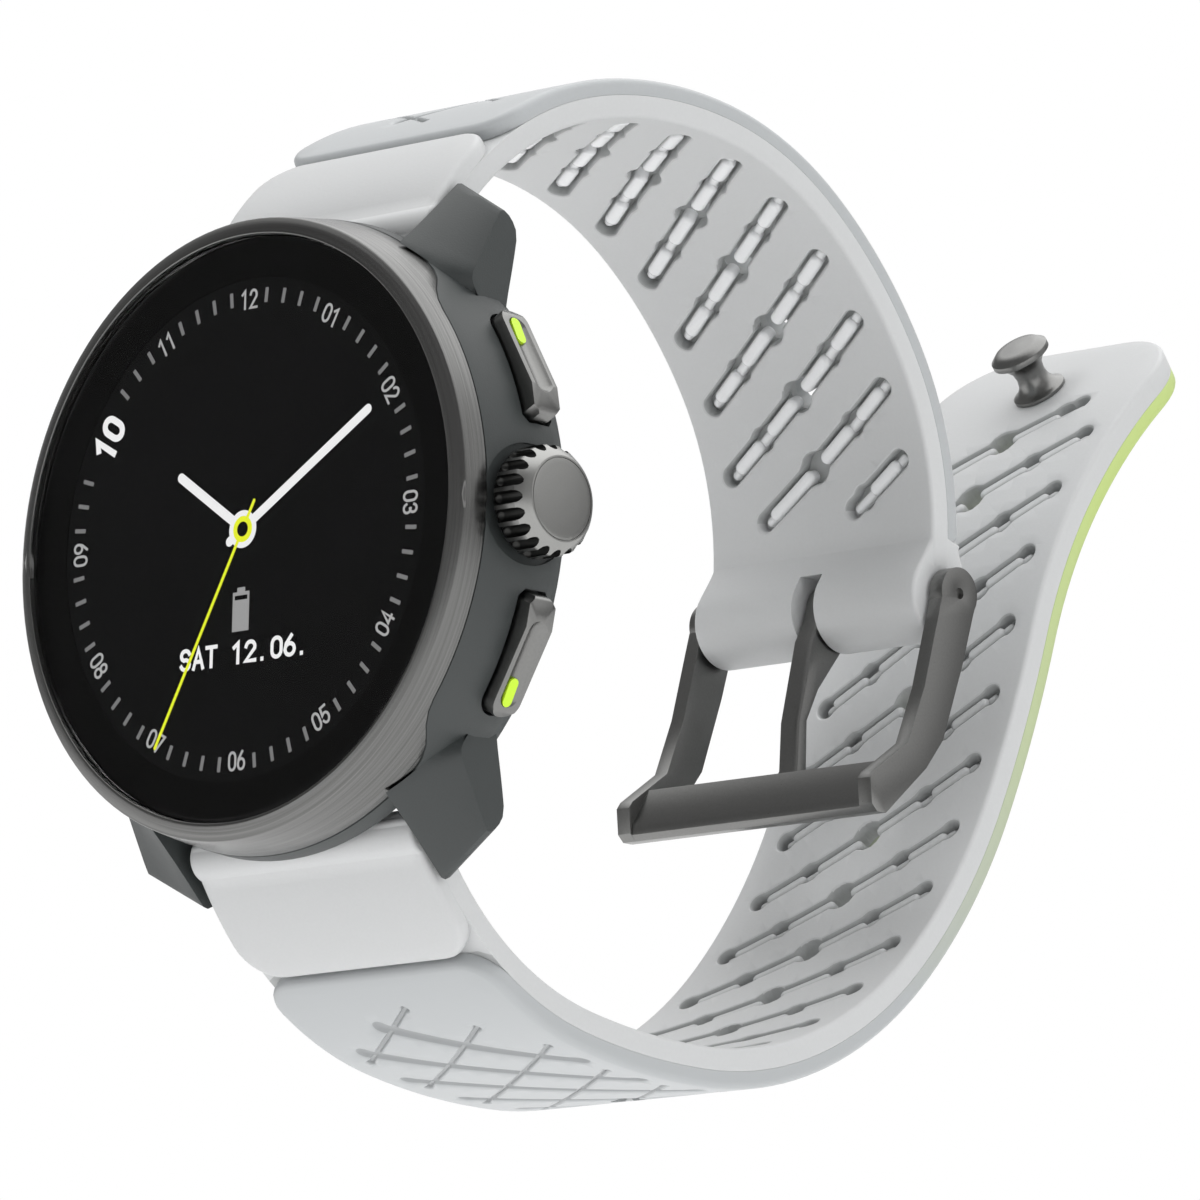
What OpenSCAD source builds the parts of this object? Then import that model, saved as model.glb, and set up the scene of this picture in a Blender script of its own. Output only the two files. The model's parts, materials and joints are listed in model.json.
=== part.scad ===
// GPS running watch: a round 46 mm case with a 33 mm display, a turning and pushing crown, two
// side buttons and a two-part 22 mm silicone strap with a pin buckle and a tail stud.
// Frame: the case back looks along +Y and lies on Y = 0, 12 o'clock is +Z and the crown is on +X.

/* [Case] */
// Radius of the bezel's front edge
bezel_r = 20.9; // [20.7:0.05:21]
// Height of the bezel's front above the case back
case_h = 11.5; // [11.4:0.05:11.6]
// Largest radius of the mid case
case_r = 21.65; // [21.5:0.05:21.8]
// Radius of the cavity that holds the works
cavity_r = 18.9; // [18.7:0.05:19]

/* [Display] */
// Radius of the cover glass
glass_r = 19.65; // [19.5:0.05:19.7]
// Thickness of the cover glass
glass_t = 0.8; // [0.7:0.05:0.85]
// Radius of the display panel
panel_r = 17.6; // [17:0.1:18]

/* [Lugs] */
// Gap between a pair of lugs
lug_gap = 22.3; // [22.2:0.05:22.4]
// Outside width over a pair of lugs
lug_w = 31.8; // [31:0.1:32.2]
// Distance of a lug's tip from the middle of the case
lug_tip = 23.3; // [23.1:0.1:23.5]
// Distance of a spring bar from the middle of the case
bar_z = 20.3; // [20.2:0.05:20.4]
// Height of a spring bar above the case back
bar_h = 3.2; // [3.1:0.05:3.3]

/* [Controls] */
// Radius of the crown's grip
crown_r = 3.7; // [3.5:0.05:3.8]
// Height of the crown's axis above the case back
crown_h = 5.5; // [5.4:0.05:5.5]
// Number of grooves round the crown
crown_grooves = 20; // [16:2:24]
// Angle of each button from the crown, round the case
button_angle = 26.5; // [26:0.25:27]
// Length of a button
button_l = 8.4; // [8.2:0.1:8.6]
// Width of a button
button_w = 2.4; // [2.3:0.1:2.5]
// Height of a button's middle above the case back
button_h = 4.3; // [4.3:0.05:4.5]
// How far the crown and the buttons travel when pressed
press = 0.5; // [0.4:0.05:0.5]

/* [Strap] */
// Width of the strap
strap_w = 21; // [20.5:0.1:21]
// Thickness of the strap
strap_t = 2.8; // [2.6:0.1:2.9]
// Thickness of the strap's outer layer
overlay_t = 1.2; // [1:0.1:1.3]
// Radius of the holes along the middle of the strap
strap_hole_r = 1.25; // [1.2:0.05:1.3]

/* [Buckle] */
// Inside width of the buckle
buckle_in = 21.6; // [21.5:0.1:21.8]
// Thickness of each buckle arm
arm_t = 1.2; // [1.1:0.1:1.4]
// Radius of the buckle pin
pin_r = 0.75; // [0.7:0.05:0.8]
// Radius of the strap's rolled end round the buckle pin
roll_r = 3.1; // [3:0.05:3.2]
// Radius of the round end of each buckle arm
arm_end_r = 1.85; // [1.8:0.05:1.9]

/* [Hidden] */
$fn = 64;
bar_r = 0.75;
lap = 0.1;           // how far a cutter runs past the face it cuts
fit = 0.03;          // radial clearance of a sliding or turning fit
seam = 0.06;         // open line between two housings

// heights above the case back
back_h = 0.6;
floor_h = 1.9;
floor_top = 3.2;
eave_h = 5.8;
skirt_low_h = 7.2;
skirt_high_h = 9.3;
glass_h = case_h - 0.2;
ledge_h = glass_h - glass_t - 0.15;
board_h = 6.6;
frame_h = 8.9;
panel_h = 9.5;

// radii inside the case
bezel_in_r = 19.75;
rim_r = 20;
back_r = 16.7;
opening_r = 12.6;
screw_ring_r = 15.2;
gasket_ring_r = 13.3;
window_r = 9;
flex_r = 13.2;
switch_r = 13.5;
switch_top_r = 15.05;
stem_end_r = 15.6;
recess_r = 20.2;
button_seat_r = 20.8;
screws = [45:90:315];    // angles of the screws and of the frame's posts

// clips and seals on the crown's stem and the buttons' rods
clip_x = 17.6;
clip_t = 0.3;
clip_in_r = 0.63;
crown_seal_x = [19.4, 20.5];
button_seal_x = 19.6;
rod_r = 0.8;

// spring bars
bar_half = 10.6;
tip_r = 0.42;
tip_reach = 12.3;
release_x0 = 5.2;
release_x1 = 8;
release_t = 0.7;

// buckle and stud
tongue_t = 1.7;
tongue_room = 2.1;
pin_inset = 0.3;
pin_eyelet_r = 0.4;
stud_shank_r = 0.9;
stud_plate_r = 1.9;
stud_plate_t = 0.5;

// strap stations: [length, turn] along the middle of the strap, from its spring bar
upper_heading = 65;
upper_route = [[5, -17.5], [15, -34], [12, -21], [12, -28], [12, -20.5], [14, -35], [3.65, -4]];
lower_heading = -59.5;
lower_route = [[5, 11], [15, 37], [12, 12.5], [12, 23.5], [12, 22.5], [14, 19], [14, 8.5], [12, -17.5],
               [12, -14.5], [5.4, -6]];
block_l = 9;
block_out = 1.25;
groove_w = 0.3;
bar_eye_r = 2.2;
hole_pitch = 5.55;
tip_corner_r = 6.5;

// ---- helpers ----

// Work with the watch lying on its back: x to 3 o'clock, y to 12 o'clock, z up out of the dial
module on_back() { rotate([90, 0, 0]) children(); }

// Turn a control round the case: local x points out of the case, z up out of the dial
module at_side(angle, h) { on_back() rotate([0, 0, angle]) translate([0, 0, h]) children(); }

// A rod along local x
module rod(r, x0, x1) { translate([x0, 0, 0]) rotate([0, 90, 0]) cylinder(r = r, h = x1 - x0); }

module ring(r_in, r_out, h0, h1) {
    translate([0, 0, h0]) difference() {
        cylinder(r = r_out, h = h1 - h0, $fn = 128);
        translate([0, 0, -lap]) cylinder(r = r_in, h = h1 - h0 + 2 * lap, $fn = 128);
    }
}

module torus(ring_r, wire_r) {
    rotate_extrude($fn = 96) translate([ring_r, 0]) circle(r = wire_r, $fn = 24);
}

// A seal ring round local x
module seal(ring_r, wire_r, x) { translate([x, 0, 0]) rotate([0, 90, 0]) torus(ring_r, wire_r); }

// Extrude a side view, drawn in Y and Z, across the strap
module across(w) { rotate([90, 0, 90]) linear_extrude(height = w, center = true) children(); }

// A clip washer with an open side
module clip(r_in, r_out, x0, x1) {
    difference() {
        rod(r_out, x0, x1);
        rod(r_in, x0 - lap, x1 + lap);
        translate([x0 - lap, -r_in, 0]) cube([x1 - x0 + 2 * lap, 2 * r_in, r_out + lap]);
    }
}

module pill(l, w) {
    square([l - w, w], center = true);
    for (s = [-1, 1]) translate([s * (l - w) / 2, 0]) circle(d = w, $fn = 32);
}

// ---- strap route ----

// A leg is [y, z, length, turn, heading, distance so far]; a station is [y, z, heading, distance]
function leg_r(p) = p[2] * 180 / PI / p[3];
function on_leg(p, f) = [
    p[0] + leg_r(p) * (sin(p[4] + f * p[3]) - sin(p[4])),
    p[1] - leg_r(p) * (cos(p[4] + f * p[3]) - cos(p[4])),
    p[4] + f * p[3],
    p[5] + f * p[2]
];
function steps(p) = max(2, ceil(abs(p[3]) / 5));

// Every station of a route, from its spring bar on
function route(p, legs, i = 0) =
    i == len(legs) ? [p] :
    let (g = [p[0], p[1], legs[i][0], legs[i][1], p[2], p[3]], n = steps(g))
    concat([for (k = [0:n - 1]) on_leg(g, k / n)], route(on_leg(g, 1), legs, i + 1));

// The station at a given distance along a route
function station(p, legs, s, i = 0) =
    let (g = [p[0], p[1], legs[i][0], legs[i][1], p[2], p[3]])
    s <= p[3] + legs[i][0] || i == len(legs) - 1 ? on_leg(g, (s - p[3]) / legs[i][0]) :
    station(on_leg(g, 1), legs, s, i + 1);

upper_start = [-bar_h, bar_z, upper_heading, 0];
lower_start = [-bar_h, -bar_z, lower_heading, 0];
upper_line = route(upper_start, upper_route);
lower_line = route(lower_start, lower_route);
pin = upper_line[len(upper_line) - 1];
tail = lower_line[len(lower_line) - 1];
upper_at = function (s) station(upper_start, upper_route, s);
lower_at = function (s) station(lower_start, lower_route, s);
stud_s = tail[3] - 6.1;

function aside(p, d) = [p[0] - d * sin(p[2]), p[1] + d * cos(p[2])];
function edge(run, d) = [for (p = run) aside(p, d)];
function reversed(points) = [for (i = [len(points) - 1:-1:0]) points[i]];
function between(line, a, b) =
    concat([a], [for (p = line) if (p[3] > a[3] + 0.2 && p[3] < b[3] - 0.2) p], [b]);

// ---- case ----

module skirt_zone(h_low, h_high) {
    // side view of what lies above the bezel's lower edge: high beside the controls, low at the lugs
    rotate([90, 0, 90]) linear_extrude(height = 60, center = true)
        for (m = [0, 1]) mirror([m, 0, 0])
            polygon([[-0.1, h_high], [12.9, h_high], [13.7, h_high - 0.15], [14.5, h_high - 0.6],
                     [15.5, h_low + 0.6], [16.3, h_low + 0.15], [17.1, h_low], [30, h_low],
                     [30, 20], [-0.1, 20]]);
}

// Outlines of a lug, [towards its tip, height], at its inner face and at its outer face. The two
// lists match point by point, and straight lines between them make the lug's surface.
lug_inner = [[12, 9.3], [14.5, 9.3], [16.2, 9.2], [17.4, 8.8], [18.4, 7.9], [19.6, 6.5], [21.2, 4.75],
             [22.8, 3.1], [lug_tip + 0.2, 2.35], [23.1, 1.5], [22, 0.95], [19.5, 0.6], [15, 0.9],
             [12, 1.1]];
lug_outer = [[12, 4.2], [13, 4.3], [14.2, 4.75], [15, 5.5], [15.9, 5.85], [17, 5.25], [18.8, 4.3],
             [20.2, 3.55], [20.9, 3.1], [20.4, 2.2], [19.4, 1.6], [17.5, 1.9], [14.5, 2.5], [12, 2.8]];
lug_steps = 4;

// Cut the corners off a closed outline, which rounds it
function softened(points) = [for (i = [0:len(points) - 1]) for (f = [0.25, 0.75])
    points[i] * (1 - f) + points[(i + 1) % len(points)] * f];

// One lug, from its inner face to its sloped outer face
module lug() {
    a = softened(lug_inner);
    b = softened(lug_outer);
    n = len(a);
    points = [for (i = [0:lug_steps]) let (f = i / lug_steps, x = (lug_gap + f * (lug_w - lug_gap)) / 2)
        for (k = [0:n - 1]) [x, a[k][0] * (1 - f) + b[k][0] * f, a[k][1] * (1 - f) + b[k][1] * f]];
    sides = [for (i = [0:lug_steps - 1]) for (k = [0:n - 1])
        let (p = i * n + k, q = i * n + (k + 1) % n) each [[p, q, q + n], [p, q + n, p + n]]];
    ends = [[for (k = [n - 1:-1:0]) k], [for (k = [0:n - 1]) lug_steps * n + k]];
    polyhedron(points, concat(sides, ends));
}

module each_lug() {
    for (mx = [0, 1]) for (my = [0, 1]) mirror([mx, 0, 0]) mirror([0, my, 0]) children();
}

// Room for the crown and one button in the side of the case
module button_room(angle) {
    rotate([0, 0, angle]) translate([0, 0, button_h]) {
        translate([recess_r, 0, 0]) along_side(5) button_plan(angle > 0 ? -1 : 1, 0.2);
        rod(rod_r + fit, cavity_r - 1, recess_r + lap);
    }
}

// A button seen from outside: round at its far end, nearly square at its end by the crown
module button_plan(crown_end, grow) {
    w = button_w / 2 + grow;
    l = button_l / 2 + grow;
    scale([crown_end, 1]) {
        polygon([[w - l, -w], [l - 0.5, -w], [l, 0.5 - w], [l, w - 0.5], [l - 0.5, w], [w - l, w]]);
        translate([w - l, 0]) circle(r = w, $fn = 48);
    }
}

// Extrude along local x a plan drawn with its own x along local y
module along_side(t) { rotate([0, 90, 0]) rotate([0, 0, 90]) linear_extrude(height = t) children(); }

module mid_case() {
    color("dimgray") on_back() difference() {
        union() {
            rotate_extrude($fn = 160)
                polygon([[opening_r, floor_h], [opening_r, floor_top], [cavity_r, floor_top],
                         [cavity_r, panel_h], [rim_r, panel_h], [rim_r, skirt_high_h - seam],
                         [21.15, skirt_high_h - seam], [21.45, skirt_low_h - seam], [case_r, 4.6],
                         [21.6, 3.2], [21.1, 1.9], [19.6, 0.9], [back_r + 0.05, 0.9],
                         [back_r + 0.05, floor_h]]);
            each_lug() lug();
            // solid ends of the cavity, behind the strap pockets
            for (s = [-1, 1]) intersection() {
                translate([0, s * 19, (0.9 + eave_h + 1) / 2]) cube([30, 6, eave_h + 0.1], center = true);
                translate([0, 0, 0.9]) cylinder(r = 19.5, h = eave_h + 0.1, $fn = 128);
            }
        }
        // the bezel's deep skirt at 12 and 6 o'clock
        difference() {
            ring(rim_r, 21.5, 5, panel_h + lap);
            translate([0, 0, -seam]) difference() {
                translate([-30, -30, 0]) cube([60, 60, 20]);
                skirt_zone(skirt_low_h, skirt_high_h);
            }
        }
        // the works and the case back
        translate([0, 0, board_h]) cylinder(r = cavity_r, h = 5, $fn = 128);
        intersection() {
            translate([0, 0, floor_top]) cylinder(r = cavity_r, h = 5, $fn = 128);
            translate([-20, -15.9, floor_top]) cube([40, 31.8, 5]);
        }
        translate([0, 0, -lap]) cylinder(r = back_r + 0.05, h = floor_h + lap, $fn = 128);
        translate([0, 0, 0]) cylinder(r = opening_r, h = 5, $fn = 128);
        // a pocket for each strap end
        for (s = [-1, 1])
            translate([-lug_gap / 2, s > 0 ? 17.4 : -27.4, -lap]) cube([lug_gap, 10, eave_h + lap]);
        // spring bar holes in the lugs
        for (s = [-1, 1]) translate([0, s * bar_z, bar_h])
            rod(tip_r + fit, -tip_reach - 0.4, tip_reach + 0.4);
        // crown recess and the hole for its tube
        translate([0, 0, crown_h]) {
            rod(crown_r + 0.35, 20.9, 26);
            rod(1.6, cavity_r - 1, 22);
        }
        for (s = [-1, 1]) button_room(s * button_angle);
        // screw holes
        for (a = screws) rotate([0, 0, a]) translate([screw_ring_r, 0, floor_h - lap])
            cylinder(r = 0.7, h = 1.2, $fn = 24);
    }
}

module bezel() {
    color("gray") on_back() intersection() {
        rotate_extrude($fn = 160)
            polygon([[18.6, panel_h], [rim_r + 0.05, panel_h], [rim_r + 0.05, skirt_low_h],
                     [21.43, skirt_low_h], [21.17, skirt_high_h], [bezel_r, 11.05], [20, case_h],
                     [bezel_in_r, case_h], [bezel_in_r, ledge_h], [18.6, ledge_h]]);
        skirt_zone(skirt_low_h, skirt_high_h);
    }
}

module cover_glass() {
    color("black") on_back() translate([0, 0, glass_h - glass_t])
        cylinder(r = glass_r, h = glass_t, $fn = 160);
}

module glass_gasket() {
    color("black") on_back() ring(18.7, 19.5, ledge_h, glass_h - glass_t);
}

module display_panel() {
    color("midnightblue") on_back() translate([0, 0, panel_h])
        cylinder(r = panel_r, h = glass_h - glass_t - panel_h, $fn = 128);
}

module inner_frame() {
    color("darkslategray") on_back() difference() {
        union() {
            translate([0, 0, frame_h]) cylinder(r = 18.5, h = panel_h - frame_h, $fn = 128);
            // four posts that stand on the board
            for (a = screws) rotate([0, 0, a]) translate([15, 0, board_h + 0.8])
                cylinder(r = 1, h = frame_h - board_h - 0.8, $fn = 32);
        }
        translate([-19, -4, frame_h - lap]) cube([6.2, 8, 2]);
        translate([0, 0, frame_h - lap]) cylinder(r = 6, h = 2);
    }
}

module gps_antenna() {
    color("goldenrod") on_back() rotate([0, 0, -60]) rotate_extrude(angle = 210, $fn = 128)
        translate([17.8, board_h + 0.8]) square([0.5, 1.4]);
}

module display_flex() {
    color("orange") on_back() translate([0, -3.5, 0]) {
        translate([-17.2, 0, panel_h - 0.15]) cube([4, 7, 0.15]);
        translate([-17.4, 0, board_h + 0.8]) cube([0.2, 7, panel_h - board_h - 0.8]);
        translate([-17.2, 0, board_h + 0.8]) cube([2.2, 7, 0.15]);
    }
}

module main_board() {
    color("darkgreen") on_back() difference() {
        translate([0, 0, board_h]) cylinder(r = 18.6, h = 0.8, $fn = 128);
        // room for the crown's clip
        translate([16.6, -2.2, board_h - 1]) cube([3, 4.4, 3]);
    }
}

module board_shields() {
    color("silver") on_back() translate([0, 0, board_h + 0.8]) {
        translate([-10, 2, 0]) cube([9, 7, 1.3]);
        translate([2, -1, 0]) cube([11, 8, 1.2]);
        translate([-9, -11, 0]) cube([8, 9, 1]);
        translate([3, -11, 0]) cube([5, 5, 0.9]);
    }
}

module battery() {
    color("steelblue") on_back() translate([-14, -11, floor_top + 0.1]) {
        cube([23, 22, 3]);
        translate([23, 6, 0.6]) cube([0.8, 10, 1.8]);
    }
}

module vibration_motor() {
    color("silver") on_back() translate([-5, -15.4, floor_top]) cube([10, 3.8, 3]);
}

module key_flex() {
    color("orange") on_back() rotate([0, 0, -36]) rotate_extrude(angle = 72, $fn = 128)
        translate([flex_r, floor_top + 0.1]) square([switch_r - flex_r, 3]);
}

// A tactile switch whose dome ends at switch_top_r
module tact_switch() {
    translate([switch_r, -1.5, -1.1]) cube([1, 3, 2.2]);
    rod(rod_r, switch_r + 1, switch_top_r);
}

module crown_switch() { color("silver") at_side(0, crown_h) tact_switch(); }

module button_switches() {
    color("silver") for (s = [-1, 1]) at_side(s * button_angle, button_h) tact_switch();
}

module crown_sensor() {
    color("black") on_back() translate([15.1, -1.2, floor_top]) cube([1.7, 2.4, 0.6]);
}

module case_back() {
    color("darkgray") on_back() difference() {
        rotate_extrude($fn = 160)
            polygon([[8.2, back_h], [8.2, floor_h], [back_r, floor_h], [back_r, 0.95],
                     [back_r - 0.35, back_h]]);
        translate([0, 0, -lap]) cylinder(r = window_r, h = 1.2 + lap, $fn = 128);
        contact_places() translate([0, 0, -lap]) cylinder(r = 0.9, h = 5, $fn = 32);
        for (a = screws) rotate([0, 0, a]) translate([screw_ring_r, 0, 0]) {
            cylinder(r = 0.72, h = 3, $fn = 24);
            cylinder(r = 1.2, h = 1.25, $fn = 24);
        }
        translate([0, 0, floor_h]) torus(gasket_ring_r, 0.4);
    }
}

module back_gasket() {
    // a ring pressed flat against the floor of the case
    color("black") on_back() intersection() {
        translate([0, 0, floor_h]) torus(gasket_ring_r, 0.4);
        translate([0, 0, floor_h - 1]) cylinder(r = 20, h = 1);
    }
}

module back_screws() {
    color("silver") on_back() for (a = screws) rotate([0, 0, a]) translate([screw_ring_r, 0, 0])
        difference() {
            union() {
                translate([0, 0, 0.7]) cylinder(r = 1.15, h = 0.55, $fn = 24);
                translate([0, 0, 1.2]) cylinder(r = 0.7, h = 1.7, $fn = 24);
            }
            translate([0, 0, 0.6]) cylinder(r = 0.5, h = 0.4, $fn = 6);
        }
}

module sensor_window() {
    color("black") on_back() rotate_extrude($fn = 128)
        polygon([[0, 0], [7.4, 0], [8.5, 0.35], [window_r, 0.8], [window_r, 1.2], [0, 1.2]]);
}

module sensor_board() {
    color("darkgreen") on_back() translate([0, 0, 2]) cylinder(r = 8, h = 0.6);
}

module sensor_emitters() {
    color("palegreen") on_back() translate([0, 0, 1.2]) {
        translate([-1, -1, 0]) cube([2, 2, 0.8]);
        for (a = [0:60:300]) rotate([0, 0, a]) translate([4.2, -0.8, 0]) cube([1.8, 1.6, 0.8]);
    }
}

module contact_places() {
    for (i = [-1.5:1:1.5]) translate([2.7 * i, -10.9, 0]) children();
}

module charging_contacts() {
    color("gold") on_back() contact_places() translate([0, 0, back_h]) cylinder(r = 0.9, h = 2, $fn = 32);
}

// ---- crown ----

module crown_tube() {
    color("gray") at_side(0, crown_h) difference() {
        rod(1.6, cavity_r - 0.3, 21.4);
        rod(1.02, cavity_r - 1, 22);
    }
}

module crown_knob() {
    color("gray") at_side(0, crown_h) difference() {
        rotate([0, 90, 0]) rotate_extrude($fn = 128)
            polygon([[0, 22.25], [1.9, 22.25], [1.9, 21.45], [crown_r - 0.35, 21.45], [crown_r, 21.8],
                     [crown_r, 23.2], [3.5, 23.6], [2.9, 24.3], [0, 24.3]]);
        rod(1, 22, 23.3);
        rod(2.72, 24.1, 25);
        for (a = [0:360 / crown_grooves:359]) rotate([a, 0, 0])
            translate([0, crown_r + 0.06, 0]) rod(0.4, 21.95, 23.1);
    }
}

module crown_cap() {
    color("silver") at_side(0, crown_h) rotate([0, 90, 0]) rotate_extrude($fn = 96)
        polygon([[0, 24.1], [2.7, 24.1], [2.7, 24.3], [1.6, 24.38], [0, 24.42]]);
}

module crown_stem() {
    color("silver") at_side(0, crown_h) difference() {
        rod(1, stem_end_r, 23.3);
        for (x = crown_seal_x) groove(0.62, x, 0.25);
        groove(0.6, clip_x, 0.22);
    }
}

// A groove round a stem or a rod, reach wide to each side of x
module groove(r, x, reach) {
    difference() {
        rod(1.2, x - reach, x + reach);
        rod(r, x - 1, x + 1);
    }
}

module crown_seals() {
    color("black") at_side(0, crown_h) for (x = crown_seal_x) seal(0.815, 0.195, x);
}

module stem_clip(r_out) { clip(clip_in_r, r_out, clip_x - clip_t / 2, clip_x + clip_t / 2); }

module crown_clip() { color("silver") at_side(0, crown_h) stem_clip(1.5); }

// ---- buttons: local y runs round the case, towards the crown for both buttons ----

module button_side(s) { at_side(s * button_angle, button_h) mirror([0, s > 0 ? 1 : 0, 0]) children(); }

module button_pusher() {
    half = button_l / 2;
    difference() {
        union() {
            intersection() {
                translate([button_seat_r, 0, 0]) along_side(3) button_plan(1, 0);
                linear_extrude(height = 10, center = true)
                    polygon([[button_seat_r, -half - 1], [21.95, -half - 1], [21.95, -half],
                             [22.25, 0.5 - half], [22.7, half - 1.95], [22.2, half - 0.15], [22, half],
                             [22, half + 1], [button_seat_r, half + 1]]);
            }
            rod(rod_r, stem_end_r, button_seat_r + 0.2);
        }
        groove(0.62, button_seal_x, 0.25);
        groove(0.6, clip_x, 0.22);
        scoop();
        inlay_shape();
    }
}

// The finger channel along a button, which starts at the inlay
module scoop() {
    r = 1.05;
    l = 4.7;
    translate([23.03, 1.5 - button_l / 2, 0]) rotate([0, 0, -3.4]) {
        rotate([-90, 0, 0]) cylinder(r = r, h = l);
        for (y = [0, l]) translate([0, y, 0]) sphere(r = r);
    }
}

module inlay_shape() {
    translate([21.7, 1.8 - button_l / 2, 0]) along_side(1) pill(2, 0.8);
}

module button_inlay() {
    intersection() {
        inlay_shape();
        translate([21.7, -button_l / 2, -1]) cube([0.55, 5, 2]);
    }
}

module button_upper() { color("gray") button_side(1) button_pusher(); }
module button_lower() { color("gray") button_side(-1) button_pusher(); }
module button_upper_inlay() { color("greenyellow") button_side(1) button_inlay(); }
module button_lower_inlay() { color("greenyellow") button_side(-1) button_inlay(); }
module button_upper_seal() { color("black") button_side(1) seal(0.72, 0.095, button_seal_x); }
module button_lower_seal() { color("black") button_side(-1) seal(0.72, 0.095, button_seal_x); }
module button_upper_clip() { color("silver") button_side(1) stem_clip(1.1); }
module button_lower_clip() { color("silver") button_side(-1) stem_clip(1.1); }

// ---- strap ----

// side is 1 for the upper strap, whose outer face is on the left of its route, and -1 for the lower.
// The inner layer, with the lug block, which is nearly as thick as both layers, and the bar's eye.
module strap_core(line, side, block_end) {
    inner = -side * strap_t / 2;
    split = side * (strap_t / 2 - overlay_t);
    last = line[len(line) - 1];
    points = concat(edge(line, inner), reversed(edge(between(line, block_end, last), split)),
                    reversed(edge(between(line, line[0], block_end), side * block_out)));
    polygon(side > 0 ? points : reversed(points));
    translate([line[0][0], line[0][1]]) circle(r = bar_eye_r);
}

module strap_overlay(line, side, start, end) {
    run = between(line, start, end);
    points = concat(edge(run, side * (strap_t / 2 - overlay_t)), reversed(edge(run, side * strap_t / 2)));
    polygon(side > 0 ? points : reversed(points));
}

// Holes along the middle of a strap, square to its faces
module strap_holes(line_at, places) {
    for (s = places) {
        p = line_at(s);
        translate([0, p[0], p[1]]) rotate([p[2], 0, 0])
            cylinder(r = strap_hole_r, h = 8, center = true, $fn = 32);
    }
}
upper_holes = [for (i = [0:7]) 18.8 + hole_pitch * i];
lower_holes = [for (i = [0:12]) 34.9 + hole_pitch * i];

// Put a bar's parts on its axis, with local y out through the strap's inner face
module on_bar(side) {
    turn = side > 0 ? upper_heading - 90 : lower_heading + 90;
    translate([0, -bar_h, side * bar_z]) rotate([turn, 0, 0])
        mirror([0, 0, side > 0 ? 0 : 1]) children();
}

// The slot that the quick release slides in
module release_slot() {
    translate([release_x0, 0, -release_t / 2]) cube([release_x1 - release_x0, 4, release_t]);
}

module bar_bore() {
    rod(bar_r, -bar_half - lap, bar_half + lap);
    release_slot();
}

// A slot for the tongue through the end of the upper strap
module tongue_slot() {
    at_pin() translate([-tongue_room / 2, -5, -5]) cube([tongue_room, 10, 7.3]);
}

module strap_upper() {
    color("gainsboro") difference() {
        across(strap_w) {
            strap_core(upper_line, 1, upper_at(block_l));
            translate([pin[0], pin[1]]) circle(r = roll_r);
        }
        on_bar(1) bar_bore();
        strap_holes(upper_at, upper_holes);
        at_pin() rod(pin_r + fit, -20, 20);
        tongue_slot();
    }
}

module strap_upper_overlay() {
    color("lightgray") difference() {
        across(strap_w) difference() {
            strap_overlay(upper_line, 1, upper_at(block_l + groove_w), upper_at(pin[3] - 1));
            translate([pin[0], pin[1]]) circle(r = roll_r);
        }
        strap_holes(upper_at, upper_holes);
    }
}

// What is cut away to round the corners of the tail
module tail_corners() {
    translate([0, tail[0], tail[1]]) rotate([tail[2], 0, 0]) for (m = [0, 1]) mirror([m, 0, 0])
        translate([strap_w / 2 - tip_corner_r, -tip_corner_r, -5]) linear_extrude(height = 10)
            difference() {
                square(tip_corner_r + 1);
                circle(r = tip_corner_r, $fn = 96);
            }
}

module strap_lower() {
    color("gainsboro") difference() {
        across(strap_w) strap_core(lower_line, -1, lower_at(block_l));
        on_bar(-1) bar_bore();
        strap_holes(lower_at, lower_holes);
        tail_corners();
        stud_place() cylinder(r = stud_shank_r, h = 10, center = true);
    }
}

module strap_lower_overlay() {
    color("yellowgreen") difference() {
        across(strap_w) strap_overlay(lower_line, -1, lower_at(block_l + groove_w), tail);
        strap_holes(lower_at, lower_holes);
        tail_corners();
        stud_place() cylinder(r = stud_shank_r, h = 10, center = true);
        stud_place() translate([0, 0, -strap_t - lap]) cylinder(r = stud_plate_r, h = stud_plate_t + lap);
    }
}

// On the inner face of the tail, with local z out of that face
module stud_place() {
    p = lower_at(stud_s);
    translate([0, p[0], p[1]]) rotate([p[2], 0, 0]) translate([0, 0, strap_t / 2]) children();
}

module tail_stud() {
    color("gray") stud_place() rotate_extrude($fn = 64)
        polygon([[0, -strap_t], [stud_plate_r, -strap_t], [stud_plate_r, stud_plate_t - strap_t],
                 [stud_shank_r, stud_plate_t - strap_t], [stud_shank_r, 0], [2, 0], [2, 0.25],
                 [1.55, 0.5], [1.2, 1], [1.1, 1.6], [1.2, 2.2], [1.6, 2.75], [2.2, 3.1], [2.2, 3.5],
                 [1.7, 3.9], [0, 4]]);
}

// ---- spring bars ----

module bar_tube(side) {
    on_bar(side) difference() {
        rod(bar_r, -bar_half, bar_half);
        rod(tip_r + fit, -bar_half - 1, bar_half + 1);
        release_slot();
    }
}

module bar_tip(side) { on_bar(side) rod(tip_r, -tip_reach, -7); }

module quick_release(side) {
    on_bar(side) {
        rod(tip_r, 5, tip_reach);
        translate([7, 0, -0.3]) cube([0.8, 2.4, 0.6]);
        translate([6.7, 2.3, -0.9]) cube([1.2, 0.7, 1.8]);
    }
}

module spring_bar_upper() { color("silver") bar_tube(1); }
module spring_bar_lower() { color("silver") bar_tube(-1); }
module bar_tip_upper() { color("silver") bar_tip(1); }
module bar_tip_lower() { color("silver") bar_tip(-1); }
module quick_release_upper() { color("silver") quick_release(1); }
module quick_release_lower() { color("silver") quick_release(-1); }

// ---- buckle ----

module at_pin() { translate([0, pin[0], pin[1]]) children(); }

pin_reach = buckle_in / 2 + arm_t - pin_inset;

module buckle_pin() { color("silver") at_pin() rod(pin_r, -pin_reach, pin_reach); }

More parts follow.
